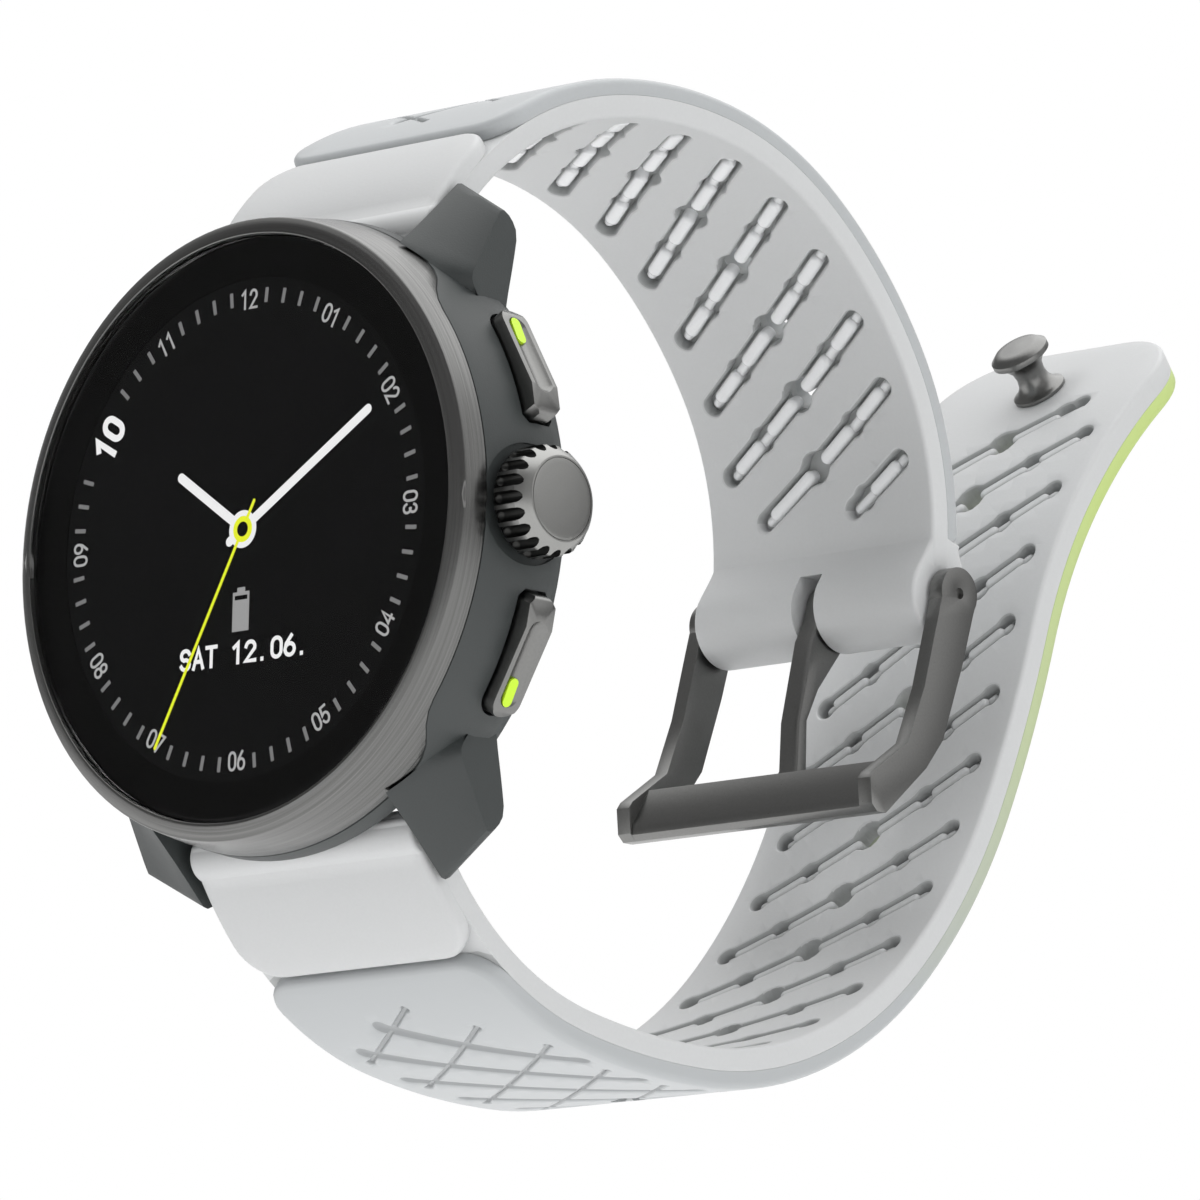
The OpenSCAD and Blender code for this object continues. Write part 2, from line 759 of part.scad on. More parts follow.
module arm_outline() {
    circle(r = arm_end_r);
    polygon([[-1.8, -0.5], [-2.2, -2], [-3.5, -7.05], [-5.1, -11.15], [-8.6, -13.6], [-8.95, -14.1],
             [-8.75, -15.9], [-8.2, -16.4], [-7.3, -16.4], [-3.2, -12.75], [-1.5, -10.55], [0.4, -5.05],
             [1.5, -1.2], [1.8, -0.3]]);
}

module buckle_frame() {
    color("gray") at_pin() difference() {
        union() {
            for (s = [-1, 1]) translate([s * (buckle_in + arm_t) / 2, 0, 0]) across(arm_t) arm_outline();
            across(buckle_in + 1)
                polygon([[-7, -12.6], [-8.6, -15.3], [-8.6, -16], [-8.2, -16.4], [-7.3, -16.4],
                         [-5.3, -14.6], [-6.5, -12.7]]);
        }
        // a seat for each end of the pin, and a small eyelet outside it
        rod(pin_r, -pin_reach, pin_reach);
        rod(pin_eyelet_r, -20, 20);
    }
}

module buckle_tongue() {
    color("gray") at_pin() difference() {
        across(tongue_t) {
            circle(r = 1.9);
            polygon([[-1.8, 0.5], [-2.3, -1.2], [-3, -2.5], [-4.3, -8.45], [-4.4, -11.85],
                     [-5.55, -13.6], [-4.8, -14.15], [-3.8, -13.65], [-3.2, -11.85], [-3.2, -8.25],
                     [-2.1, -5.95], [0.5, -2.6], [1.4, -1.2]]);
        }
        rod(pin_r + fit, -5, 5);
    }
}

mid_case();
bezel();
cover_glass();
glass_gasket();
display_panel();
inner_frame();
gps_antenna();
display_flex();
main_board();
board_shields();
battery();
vibration_motor();
key_flex();
crown_switch();
button_switches();
crown_sensor();
case_back();
back_gasket();
back_screws();
sensor_window();
sensor_board();
sensor_emitters();
charging_contacts();
crown_tube();
crown_knob();
crown_cap();
crown_stem();
crown_seals();
crown_clip();
button_upper();
button_upper_inlay();
button_upper_seal();
button_upper_clip();
button_lower();
button_lower_inlay();
button_lower_seal();
button_lower_clip();
strap_upper();
strap_upper_overlay();
spring_bar_upper();
bar_tip_upper();
quick_release_upper();
strap_lower();
strap_lower_overlay();
spring_bar_lower();
bar_tip_lower();
quick_release_lower();
buckle_pin();
buckle_frame();
buckle_tongue();
tail_stud();
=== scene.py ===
import bpy
import bmesh
import json
import math
import numpy as np
from mathutils import Matrix, Vector, geometry


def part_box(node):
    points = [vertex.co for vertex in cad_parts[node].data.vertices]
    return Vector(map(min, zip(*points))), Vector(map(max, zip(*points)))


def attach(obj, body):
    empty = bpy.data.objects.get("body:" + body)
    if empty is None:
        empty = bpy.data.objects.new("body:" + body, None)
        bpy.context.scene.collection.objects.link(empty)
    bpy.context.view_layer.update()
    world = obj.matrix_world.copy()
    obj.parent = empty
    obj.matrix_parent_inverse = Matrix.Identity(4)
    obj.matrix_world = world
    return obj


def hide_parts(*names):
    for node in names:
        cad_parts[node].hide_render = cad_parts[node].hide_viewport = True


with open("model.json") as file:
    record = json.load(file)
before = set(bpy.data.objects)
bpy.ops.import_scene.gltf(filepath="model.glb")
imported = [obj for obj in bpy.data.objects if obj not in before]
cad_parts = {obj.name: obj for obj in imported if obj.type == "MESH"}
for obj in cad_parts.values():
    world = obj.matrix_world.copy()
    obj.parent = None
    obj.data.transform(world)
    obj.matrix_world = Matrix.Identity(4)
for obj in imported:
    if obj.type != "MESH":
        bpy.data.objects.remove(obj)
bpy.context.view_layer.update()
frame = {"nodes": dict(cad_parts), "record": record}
NODES = frame["nodes"]
MM = 0.001

# ---- camera, lights, floor ----

# The camera's place in metres, its right and up directions, and its lens in millimetres
CAMERA_AT = (0.4658, -0.4641, -0.1218)
CAMERA_RIGHT = (0.7256, 0.6878, 0.0204)
CAMERA_UP = (0.108, -0.143, 0.9839)
LENS = 299.44
FLOOR_Z = -0.2
# Each glow of the sky: direction, where it starts and ends as a cosine, and its strength at both
SKY = [
    ((-0.70, 0.69, 0.18), 0.84, 0.98, 0.0, 1.0),
    ((0.0, 0.25, 1.0), 0.5, 0.93, 0.26, 2.1),
    ((0.95, -0.25, 0.15), 0.6, 0.95, 0.0, 0.5),
    ((0.7, 0.45, 0.5), 0.8, 0.97, 0.0, 0.95),
    ((0.1, -0.3, -1.0), 0.55, 0.95, 0.0, 0.3),
]
# Each soft light: name, place, the point it looks at, size in metres, and power in watts
LIGHTS = [
    ("key", (-0.45, -0.55, 0.75), (0, 0.01, 0), (0.5, 0.5), 2.7),
    ("side", (0.9, -0.1, 0.3), (0, 0.02, 0), (0.5, 0.9), 1.9),
]
FLOOR_HALF = 3.0


def link(obj):
    bpy.context.scene.collection.objects.link(obj)
    return obj


def axes_matrix(right, up, at):
    right = Vector(right).normalized()
    back = right.cross(Vector(up)).normalized()
    up = back.cross(right)
    matrix = Matrix((right, up, back)).transposed().to_4x4()
    matrix.translation = Vector(at)
    return matrix


def add_camera():
    data = bpy.data.cameras.new("camera")
    data.lens = LENS
    data.sensor_width = 36
    data.clip_end = 10
    camera = link(bpy.data.objects.new("camera", data))
    camera.matrix_world = axes_matrix(CAMERA_RIGHT, CAMERA_UP, CAMERA_AT)
    bpy.context.scene.camera = camera
    bpy.context.scene.view_settings.view_transform = "Standard"


def add_area(name, at, target, size, power):
    data = bpy.data.lights.new(name, "AREA")
    data.shape = "RECTANGLE"
    data.size, data.size_y = size
    data.energy = power
    light = link(bpy.data.objects.new(name, data))
    light.location = at
    light.rotation_euler = (Vector(target) - Vector(at)).to_track_quat("-Z", "Y").to_euler()
    light.visible_glossy = False


def add_world():
    """A dim sky with a few soft glows; in each direction the brightest one counts."""
    world = bpy.data.worlds.new("studio")
    bpy.context.scene.world = world
    world.use_nodes = True
    tree = world.node_tree
    join = tree.links.new
    background = tree.nodes["Background"]
    coordinates = node(tree, "ShaderNodeTexCoord")
    total = None
    for direction, low, high, dark, light in SKY:
        along = node(tree, "ShaderNodeVectorMath", operation="DOT_PRODUCT")
        along.inputs[1].default_value = Vector(direction).normalized()
        spread = node(tree, "ShaderNodeMapRange", interpolation_type="SMOOTHSTEP",
                      From_Min=low, From_Max=high, To_Min=dark, To_Max=light)
        join(coordinates.outputs["Generated"], along.inputs[0])
        join(along.outputs["Value"], spread.inputs["Value"])
        if total is None:
            total = spread.outputs["Result"]
        else:
            highest = node(tree, "ShaderNodeMath", operation="MAXIMUM")
            join(total, highest.inputs[0])
            join(spread.outputs["Result"], highest.inputs[1])
            total = highest.outputs["Value"]
    join(total, background.inputs["Color"])
    background.inputs["Strength"].default_value = 1.0


def add_floor():
    mesh = bpy.data.meshes.new("floor")
    corners = [(-1, -1), (1, -1), (1, 1), (-1, 1)]
    mesh.from_pydata([(x * FLOOR_HALF, y * FLOOR_HALF, FLOOR_Z) for x, y in corners], [], [(0, 1, 2, 3)])
    floor = link(bpy.data.objects.new("floor", mesh))
    floor.data.materials.append(material("floor_paper", (0.95, 0.95, 0.95), 0.8))


# ---- materials ----


def material(name, colour, roughness, metallic=0.0, **sockets):
    """A plain material, with any other of its shader's sockets set by name."""
    made = bpy.data.materials.new(name)
    made.use_nodes = True
    shader = made.node_tree.nodes["Principled BSDF"]
    shader.inputs["Base Color"].default_value = (*colour, 1)
    shader.inputs["Roughness"].default_value = roughness
    shader.inputs["Metallic"].default_value = metallic
    for key, value in sockets.items():
        shader.inputs[key.replace("_", " ")].default_value = value
    return made


def node(tree, kind, **values):
    """A node with its properties and inputs set by name."""
    made = tree.nodes.new(kind)
    for key, value in values.items():
        if key in made.bl_rna.properties:
            setattr(made, key, value)
        else:
            made.inputs[key.replace("_", " ")].default_value = value
    return made


def open_tree(made):
    """A material's node tree, its shader, the function that links sockets, and its coordinates."""
    tree = made.node_tree
    coordinates = node(tree, "ShaderNodeTexCoord")
    return tree, tree.nodes["Principled BSDF"], tree.links.new, coordinates.outputs["Object"]


def grain(made, scale, bump, shade=0.0, rough=0.0):
    """Adds fine noise: bump in metres, a share of colour change, and a change of roughness."""
    tree, shader, join, at = open_tree(made)
    noise = node(tree, "ShaderNodeTexNoise", Scale=scale, Detail=3.0)
    join(at, noise.inputs["Vector"])
    add_bump(tree, shader, noise.outputs["Fac"], bump)
    if shade:
        vary(tree, shader, noise.outputs["Fac"], "Base Color", shade)
    if rough:
        base = shader.inputs["Roughness"].default_value
        spread = node(tree, "ShaderNodeMapRange", To_Min=max(base - rough, 0.02), To_Max=base + rough)
        join(noise.outputs["Fac"], spread.inputs["Value"])
        join(spread.outputs["Result"], shader.inputs["Roughness"])
    return made


def add_bump(tree, shader, height, distance):
    """Bumps in metres, on top of any that the shader has."""
    join = tree.links.new
    bump = node(tree, "ShaderNodeBump", Distance=distance, Strength=1.0)
    join(height, bump.inputs["Height"])
    earlier = shader.inputs["Normal"].links
    if earlier:
        join(earlier[0].from_socket, bump.inputs["Normal"])
    join(bump.outputs["Normal"], shader.inputs["Normal"])


def vary(tree, shader, value, socket, share):
    """Lets a value darken and lighten a socket's colour by a share of it."""
    base = Vector(shader.inputs[socket].default_value[:3])
    mix = node(tree, "ShaderNodeMix", data_type="RGBA")
    mix.inputs["A"].default_value = (*(base * (1 - share)), 1)
    mix.inputs["B"].default_value = (*[min(c * (1 + share), 1) for c in base], 1)
    tree.links.new(value, mix.inputs["Factor"])
    tree.links.new(mix.outputs["Result"], shader.inputs[socket])


def brushed_round(made, streak, bump, shade):
    """Brush lines that run round the case's own axis, Y, as bumps and as a share of colour change."""
    tree, shader, join, at = open_tree(made)
    split = node(tree, "ShaderNodeSeparateXYZ")
    radius = node(tree, "ShaderNodeVectorMath", operation="LENGTH")
    flat = node(tree, "ShaderNodeCombineXYZ")
    angle = node(tree, "ShaderNodeMath", operation="ARCTAN2")
    place = node(tree, "ShaderNodeCombineXYZ")
    join(at, split.inputs["Vector"])
    join(split.outputs["X"], flat.inputs["X"])
    join(split.outputs["Z"], flat.inputs["Z"])
    join(flat.outputs["Vector"], radius.inputs[0])
    join(split.outputs["Z"], angle.inputs[0])
    join(split.outputs["X"], angle.inputs[1])
    join(radius.outputs["Value"], place.inputs["X"])
    join(split.outputs["Y"], place.inputs["Y"])
    shrink = node(tree, "ShaderNodeMath", operation="MULTIPLY")
    shrink.inputs[1].default_value = streak
    join(angle.outputs["Value"], shrink.inputs[0])
    join(shrink.outputs["Value"], place.inputs["Z"])
    noise = node(tree, "ShaderNodeTexNoise", Scale=8000.0, Detail=2.0)
    join(place.outputs["Vector"], noise.inputs["Vector"])
    add_bump(tree, shader, noise.outputs["Fac"], bump)
    vary(tree, shader, noise.outputs["Fac"], "Base Color", shade)
    tangent = node(tree, "ShaderNodeTangent", direction_type="RADIAL", axis="Y")
    join(tangent.outputs["Tangent"], shader.inputs["Tangent"])
    return made


def glow(name, colour):
    """Lit dots of the display, a little uneven."""
    made = material(name, (0.002, 0.002, 0.002), 0.6, Specular_IOR_Level=0.05)
    tree, shader, join, at = open_tree(made)
    dots = node(tree, "ShaderNodeTexNoise", Scale=20000.0, Detail=1.0)
    mix = node(tree, "ShaderNodeMix", data_type="RGBA")
    mix.inputs["A"].default_value = (*[c * 0.93 for c in colour], 1)
    mix.inputs["B"].default_value = (*[c * 1.05 for c in colour], 1)
    join(at, dots.inputs["Vector"])
    join(dots.outputs["Fac"], mix.inputs["Factor"])
    join(mix.outputs["Result"], shader.inputs["Emission Color"])
    shader.inputs["Emission Strength"].default_value = 1.0
    return made


TAIL_GREY = (0.42, 0.436, 0.445)
TAIL_LIME = (0.5, 0.62, 0.22)
TAIL_GREY_Z, TAIL_LIME_Z = -0.026, 0.012


def tail_tint(made, share=1.0):
    """The lower outer layer turns lime towards its tail; share darkens the whole tint, as painted shade in
    the grooves.
    """
    tree, shader, join, at = open_tree(made)
    split = node(tree, "ShaderNodeSeparateXYZ")
    ramp = node(tree, "ShaderNodeValToRGB")
    for stop, colour in zip(ramp.color_ramp.elements, (TAIL_GREY, TAIL_LIME)):
        stop.color = (*[c * share for c in colour], 1)
    spread = node(tree, "ShaderNodeMapRange", From_Min=TAIL_GREY_Z, From_Max=TAIL_LIME_Z)
    join(at, split.inputs["Vector"])
    join(split.outputs["Z"], spread.inputs["Value"])
    join(spread.outputs["Result"], ramp.inputs["Fac"])
    join(ramp.outputs["Color"], shader.inputs["Base Color"])
    return made


MATS = {}
# Each: name, colour, roughness, metallic, noise scale, bump in metres, colour change, and for some
# the roughness change
GRAINED = {
    "case": ("case_polymer", (0.037, 0.042, 0.042), 0.5, 0.0, 9000, 1e-5, 0.12),
    "dark_metal": ("dark_metal", (0.21, 0.21, 0.205), 0.3, 1.0, 6000, 4e-6, 0.1, 0.05),
    "steel": ("steel", (0.45, 0.45, 0.44), 0.3, 1.0, 4000, 4e-6, 0.1, 0.05),
    "crown": ("crown_metal", (0.3, 0.3, 0.292), 0.3, 1.0, 9000, 3e-7, 0.05, 0.02),
    # A near-black metal for the crown's slots: painted shade.
    "slot_dark": ("crown_slot", (0.035, 0.035, 0.034), 0.3, 1.0, 6000, 2e-6, 0.1),
    "lime": ("lime_accent", (0.55, 0.85, 0.02), 0.35, 0.0, 5000, 4e-6, 0.08),
    "silicone": ("silicone_white", (0.55, 0.558, 0.562), 0.5, 0.0, 5000, 6e-6, 0.03),
    "clear_silicone": ("silicone_grey", (0.42, 0.436, 0.445), 0.38, 0.0, 5000, 6e-6, 0.03),
    # Lighter than the outer silicone it stands for: painted light shining through the thin silicone.
    "gloss_painted_light_silicone": ("silicone_gloss", (0.8, 0.81, 0.82), 0.18, 0.0, 4000, 3e-6, 0.03),
    # Darker copies of the silicones for the faces inside the strap's slots and grooves: painted shade.
    "slot_painted_shade": ("silicone_slot", (0.38, 0.39, 0.39), 0.45, 0.0, 5000, 4e-6, 0.05),
    "groove_painted_shade": ("silicone_groove", (0.34, 0.355, 0.36), 0.35, 0.0, 5000, 4e-6, 0.05),
    "black": ("black_seal", (0.02, 0.02, 0.02), 0.6, 0.0, 6000, 6e-6, 0.1),
    "board": ("board_green", (0.02, 0.12, 0.06), 0.4, 0.0, 3000, 1e-5, 0.3),
    "gold": ("contact_gold", (0.8, 0.55, 0.2), 0.25, 1.0, 4000, 4e-6, 0.1),
    "amber": ("flex_amber", (0.6, 0.25, 0.03), 0.35, 0.0, 4000, 4e-6, 0.2),
    "sensor": ("sensor_dark", (0.006, 0.006, 0.008), 0.08, 0.0, 3000, 1e-6, 0.2),
    "emitter": ("emitter", (0.3, 0.6, 0.25), 0.2, 0.0, 4000, 4e-6, 0.2),
}
# Each lit colour of the dial
LIT = {
    "dial_grey": (0.42, 0.42, 0.42),
    "dial_tick": (0.2, 0.2, 0.2),
    "dial_white": (0.86, 0.86, 0.86),
    "dial_lime": (0.8, 0.86, 0.03),
    "dial_battery_grey": (0.32, 0.32, 0.32),
}


def build_grained():
    for key, (name, colour, roughness, metallic, *noise) in GRAINED.items():
        MATS[key] = grain(material(name, colour, roughness, metallic), *noise)


def build_bezel_steel():
    plain = material("bezel_steel", (0.155, 0.155, 0.152), 0.25, 1.0, Anisotropic=0.7)
    MATS["bezel"] = brushed_round(plain, 0.00016, 7e-6, 0.45)


def build_tail_silicone():
    outer = grain(material("silicone_tail", (0.66, 0.69, 0.7), 0.38), 5000, 6e-6)
    # The grooves' copy of the tail silicone is darker by a quarter: painted shade.
    groove = grain(material("silicone_tail_groove", (0.5, 0.5, 0.5), 0.35), 5000, 4e-6)
    MATS["tail_silicone"] = tail_tint(outer)
    MATS["tail_groove_painted_shade"] = tail_tint(groove, 0.75)


def build_dial_looks():
    off = material("display_black", (0.0015, 0.0015, 0.0017), 0.6, Specular_IOR_Level=0.05)
    MATS["display"] = grain(off, 3000, 1e-6, 0.2)
    print_black = material("mask_print", (0.001, 0.001, 0.001), 0.6, Specular_IOR_Level=0.02)
    MATS["mask"] = grain(print_black, 5000, 1e-6, 0.2)
    MATS["glass"] = material("cover_glass", (1, 1, 1), 0.02, Transmission_Weight=1.0, IOR=1.16)
    for name, colour in LIT.items():
        MATS[name] = glow(name, colour)


# The look of each of the record's material slots; a slot that isn't here has the look of its own name
BY_SLOT = {
    "case_polymer": "case", "bezel_steel": "bezel", "cover_glass": "glass", "black_seal": "black",
    "inner_polymer": "black", "antenna": "gold", "flex": "amber", "shield": "steel",
    "battery_foil": "steel", "motor": "steel", "switch": "steel", "chip": "black",
    "back_steel": "steel", "screw_steel": "steel", "sensor_window": "sensor", "contact_gold": "gold",
    "lime_accent": "lime", "strap_inner": "silicone", "strap_outer": "clear_silicone",
    "strap_tail": "clear_silicone",
}


def dress_nodes():
    for part in frame["record"]["subparts"]:
        obj = NODES[part["node"]]
        slot = part["material_slot"]
        obj.data.materials.clear()
        obj.data.materials.append(MATS[BY_SLOT.get(slot, slot)])


# ---- strap routes, in millimetres, as the CAD has them ----

INNER, SPLIT, OUTER = -1.4, 0.2, 1.4


class Route:
    """A strap's middle line in the Y-Z plane: arcs, each with a length and a turn in degrees.

    s runs along it, x across it and w through it, from the inner face at INNER to the outer at OUTER.
    """

    def __init__(self, start, heading, legs, side):
        self.side = side
        self.legs = []
        y, z = start
        s = 0.0
        for length, turn in legs:
            self.legs.append((s, length, turn, y, z, heading))
            y, z, heading = self.on_leg(self.legs[-1], 1.0)
            s += length
        self.length = s

    @staticmethod
    def on_leg(leg, share):
        _, length, turn, y, z, heading = leg
        radius = length / math.radians(turn)
        a, b = math.radians(heading), math.radians(heading + share * turn)
        return (y + radius * (math.sin(b) - math.sin(a)), z - radius * (math.cos(b) - math.cos(a)),
                heading + share * turn)

    def at(self, s):
        """The place y, z and the heading in degrees at station s."""
        for leg in self.legs:
            if s <= leg[0] + leg[1]:
                break
        return self.on_leg(leg, (s - leg[0]) / leg[1])

    def place(self, s, x, w):
        """A point of the bent strap."""
        return self.near(s, 0.0, x, w)

    def near(self, s0, along, x, w):
        """A point in the straight local frame of the station at s0."""
        y, z, heading = self.at(s0)
        a = math.radians(heading)
        d = self.side * w
        return (x * MM, (y + along * math.cos(a) - d * math.sin(a)) * MM,
                (z + along * math.sin(a) + d * math.cos(a)) * MM)


# Start, heading, legs, and the side of the line that the outer face lies on
UPPER = Route((-3.2, 20.3), 65,
              [(5, -17.5), (15, -34), (12, -21), (12, -28), (12, -20.5), (14, -35), (3.65, -4)], 1)
LOWER = Route((-3.2, -20.3), -59.5,
              [(5, 11), (15, 37), (12, 12.5), (12, 23.5), (12, 22.5), (14, 19), (14, 8.5), (12, -17.5),
               (12, -14.5), (5.4, -6)], -1)
HALF_W = 10.5
# The thick block beside the case: where it starts and ends along the strap, and its outer face
BLOCK_START, BLOCK_END, BLOCK_TOP = -1.4, 9.0, 1.25
# The outer layer starts a little past the block, and ends before the upper half's roll
COVER_START = BLOCK_END + 0.25
COVER_SHORT = 3.9
# Radii: the eye round the spring bar, the bar, the roll round the buckle pin, and the pin
EYE_R, BAR_R = 1.6, 0.75
ROLL_R, PIN_R = 3.1, 0.78
# The roll is round as far as this angle, in degrees, on both sides of the strap's own direction
ROLL_TURN = 105
# The pattern repeats by a pitch along the strap, and its slots lean by a slant, s over x
PITCH = 5.55
SLANT = 0.66
UPPER_CENTRES = [13.25 + PITCH * i for i in range(11)]
LOWER_CENTRES = [29.35 + PITCH * i for i in range(14)]
HOLE_R = 1.2
UPPER_HOLES, LOWER_HOLES = UPPER_CENTRES[1:9], LOWER_CENTRES[1:]
UPPER_SLOT_HALF, LOWER_SLOT_HALF = 0.75, 0.6
UPPER_LATTICE_END, LOWER_LATTICE_END = 66, 104
TAIL_R = 6.5
STRAP_SHARP = 40


# ---- mesh tools ----


def raw(name, verts, faces):
    """A closed mesh object that isn't a piece yet, with doubled points joined."""
    mesh = bpy.data.meshes.new(name)
    mesh.from_pydata([tuple(v) for v in verts], [], [tuple(f) for f in faces])
    bm = bmesh.new()
    bm.from_mesh(mesh)
    bmesh.ops.remove_doubles(bm, verts=bm.verts, dist=1e-6)
    bmesh.ops.dissolve_degenerate(bm, edges=bm.edges, dist=1e-7)
    bmesh.ops.recalc_face_normals(bm, faces=bm.faces)
    bm.to_mesh(mesh)
    bm.free()
    return link(bpy.data.objects.new(name, mesh))


def piece(obj, look, body, angle, replaces=()):
    """Makes a mesh a piece: its look, the body it rides on, and the angle that stays sharp."""
    obj.data.materials.clear()
    obj.data.materials.append(MATS[look])
    obj.data.shade_smooth()
    obj.data.set_sharp_from_angle(angle=math.radians(angle))
    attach(obj, body)
    if replaces:
        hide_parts(*replaces)


def combine(target, tool, operation):
    """Applies a boolean to the target and drops the tool."""
    change = target.modifiers.new("cut", "BOOLEAN")
    change.object = tool
    change.operation = operation
    change.solver = "EXACT"
    bpy.context.view_layer.update()
    mesh = bpy.data.meshes.new_from_object(target.evaluated_get(bpy.context.evaluated_depsgraph_get()))
    target.modifiers.clear()
    target.data = mesh
    bpy.data.objects.remove(tool)


def tube_faces(rings, n):
    """The four-sided faces between rings of n points."""
    out = []
    for r in range(rings - 1):
        for i in range(n):
            j = (i + 1) % n
            a, b = r * n, (r + 1) * n
            out.append((a + i, a + j, b + j, b + i))
    return out


def end_faces(rings, n):
    """The first and last ring, each as one face."""
    return [tuple(range(n)), tuple(range((rings - 1) * n, rings * n))]


BOX_FACES = [(0, 1, 3, 2), (4, 6, 7, 5), (0, 2, 6, 4), (1, 5, 7, 3), (0, 4, 5, 1), (2, 3, 7, 6)]


def lathe(name, profile, steps, to_point):
    """Turns a profile [(radius, height)] round an axis. to_point(a, b, height) gives the place."""
    verts = []
    for radius, height in profile:
        for i in range(steps):
            t = 2 * math.pi * i / steps
            verts.append(to_point(radius * math.cos(t), radius * math.sin(t), height))
    n = len(profile)
    return raw(name, verts, tube_faces(n, steps) + end_faces(n, steps))


def rod_x(name, route, s0, radius, x0, x1, edge=0.0, steps=48):
    """A rod across a strap at one station, with round edges where edge is given."""
    profile = [(radius, x0), (radius, x1)]
    if edge:
        bends = [(radius - edge * (1 - math.sin(t)), edge * (1 - math.cos(t)))
                 for t in (0, math.pi / 6, math.pi / 3, math.pi / 2)]
        profile = [(r, x0 + d) for r, d in bends] + [(r, x1 - d) for r, d in bends[::-1]]
    return lathe(name, profile, steps, lambda a, b, h: route.near(s0, a, h, b))


def round_rect(s0, s1, half, r0, r1, step):
    """A rectangle with round corners in s and x, with the outward directions."""
    points, normals = [], []

    def line(a, b, normal):
        n = max(1, int(round(math.dist(a, b) / step)))
        for i in range(n):
            points.append((a[0] + (b[0] - a[0]) * i / n, a[1] + (b[1] - a[1]) * i / n))
            normals.append(normal)

    def arc(centre, radius, start):
        n = max(2, int(round(radius * math.pi / 2 / min(step, 0.6))))
        for i in range(n):
            t = math.radians(start + 90 * i / n)
            points.append((centre[0] + radius * math.cos(t), centre[1] + radius * math.sin(t)))
            normals.append((math.cos(t), math.sin(t)))

    line((s0 + r0, -half), (s1 - r1, -half), (0, -1))
    arc((s1 - r1, r1 - half), r1, -90)
    line((s1, r1 - half), (s1, half - r1), (1, 0))
    arc((s1 - r1, half - r1), r1, 0)
    line((s1 - r1, half), (s0 + r0, half), (0, 1))
    arc((s0 + r0, half - r0), r0, 90)
    line((s0, half - r0), (s0, r0 - half), (-1, 0))
    arc((s0 + r0, r0 - half), r0, 180)
    return np.array(points), np.array(normals)


def fill(loop, grid):
    """Triangles inside a closed loop, with extra grid points. Returns points and faces."""
    n = len(loop)
    spots = [Vector(p) for p in loop] + [Vector(p) for p in grid]
    edges = [(i, (i + 1) % n) for i in range(n)]
    points, _, faces, _, _, _ = geometry.delaunay_2d_cdt(spots, edges, [], 1, 1e-7)
    return [tuple(p) for p in points], faces


def slab(name, route, s0, s1, r0, r1, low, high, edge_low, edge_high, half=HALF_W, step=1.1):
    """A band of strap from s0 to s1 and from low to high in w, bent along the route.

    r0 and r1 round its corners in plan, and edge_low and edge_high round its edges.
    """
    least = max(edge_low, edge_high) + 0.06
    r0, r1 = max(r0, least), max(r1, least)
    points, normals = round_rect(s0, s1, half, r0, r1, step)
    turns = [math.radians(a) for a in (0, 22.5, 45, 67.5, 90)]
    levels = [(edge_low * (1 - math.sin(t)), low + edge_low * (1 - math.cos(t))) for t in turns]
    levels += [(edge_high * (1 - math.sin(t)), high - edge_high * (1 - math.cos(t))) for t in turns[::-1]]
    verts = []
    for inset, w in levels:
        for p in points - normals * inset:
            verts.append(route.place(p[0], p[1], w))
    faces = tube_faces(len(levels), len(points))
    margin = 0.7 + max(edge_low, edge_high)
    grid = []
    for s in np.arange(s0 + margin, s1 - margin, step):
        for x in np.linspace(margin - half, half - margin, 14):
            corner = r1 if s > s1 - r1 else r0 if s < s0 + r0 else 0
            deep_s = corner - (s1 - s if s > s1 - r1 else s - s0) if corner else 0
            deep_x = abs(x) - (half - corner)
            if not (deep_s > 0 and deep_x > 0 and math.hypot(deep_s, deep_x) > corner - margin):
                grid.append((s, x))
    for (inset, w) in (levels[0], levels[-1]):
        spots, triangles = fill(points - normals * inset, grid)
        first = len(verts)
        verts += [route.place(p[0], p[1], w) for p in spots]
        faces += [tuple(first + i for i in f) for f in triangles]
    return raw(name, verts, faces)


def channel(route, centre, slant, t0, t1, half, bulges, levels, n=56):
    """A long slot or bar across a strap: rings of its outline at each (w, spread) level.
    t runs along it from its middle; bulges are (t, radius)."""
    length = math.hypot(slant, 1)
    ds, dx = slant / length, 1 / length
    verts = []
    for w, spread in levels:
        ends = [(t - r - spread, t + r + spread) for t, r in bulges] + [(t0, t1)]
        first, last = min(e[0] for e in ends), max(e[1] for e in ends)
        rows = []
        for i in range(n + 1):
            t = (first + last) / 2 + (last - first) / 2 * math.sin(math.pi * (i / n - 0.5))
            wide = half + spread if t0 <= t <= t1 else 0.0
            for at, radius in bulges:
                reach = (radius + spread) ** 2 - (t - at) ** 2
                if reach > 0:
                    wide = max(wide, math.sqrt(reach))
            rows.append((t, wide if 0 < i < n else 0.0))
        for sign, run in ((1, rows), (-1, rows[::-1])):
            for t, wide in run:
                s = centre + t * ds - sign * wide * dx
                x = t * dx + sign * wide * ds
                verts.append(route.place(s, x, w))
    ring = 2 * (n + 1)
    faces = tube_faces(len(levels), ring)
    for first in (0, (len(levels) - 1) * ring):
        faces += [(first + i, first + i + 1, first + ring - 2 - i, first + ring - 1 - i) for i in range(n)]
    return verts, faces


def gather(name, parts):
    """One mesh object from several (points, faces) pairs."""
    verts, faces = [], []
    for more, joined in parts:
        first = len(verts)
        verts += more
        faces += [tuple(first + i for i in f) for f in joined]
    return raw(name, verts, faces)


# ---- strap details ----

# Along a slot, from its middle: where it ends at most, and where its outer bulges sit
REACH = 10.2
QUARTER = 5.1
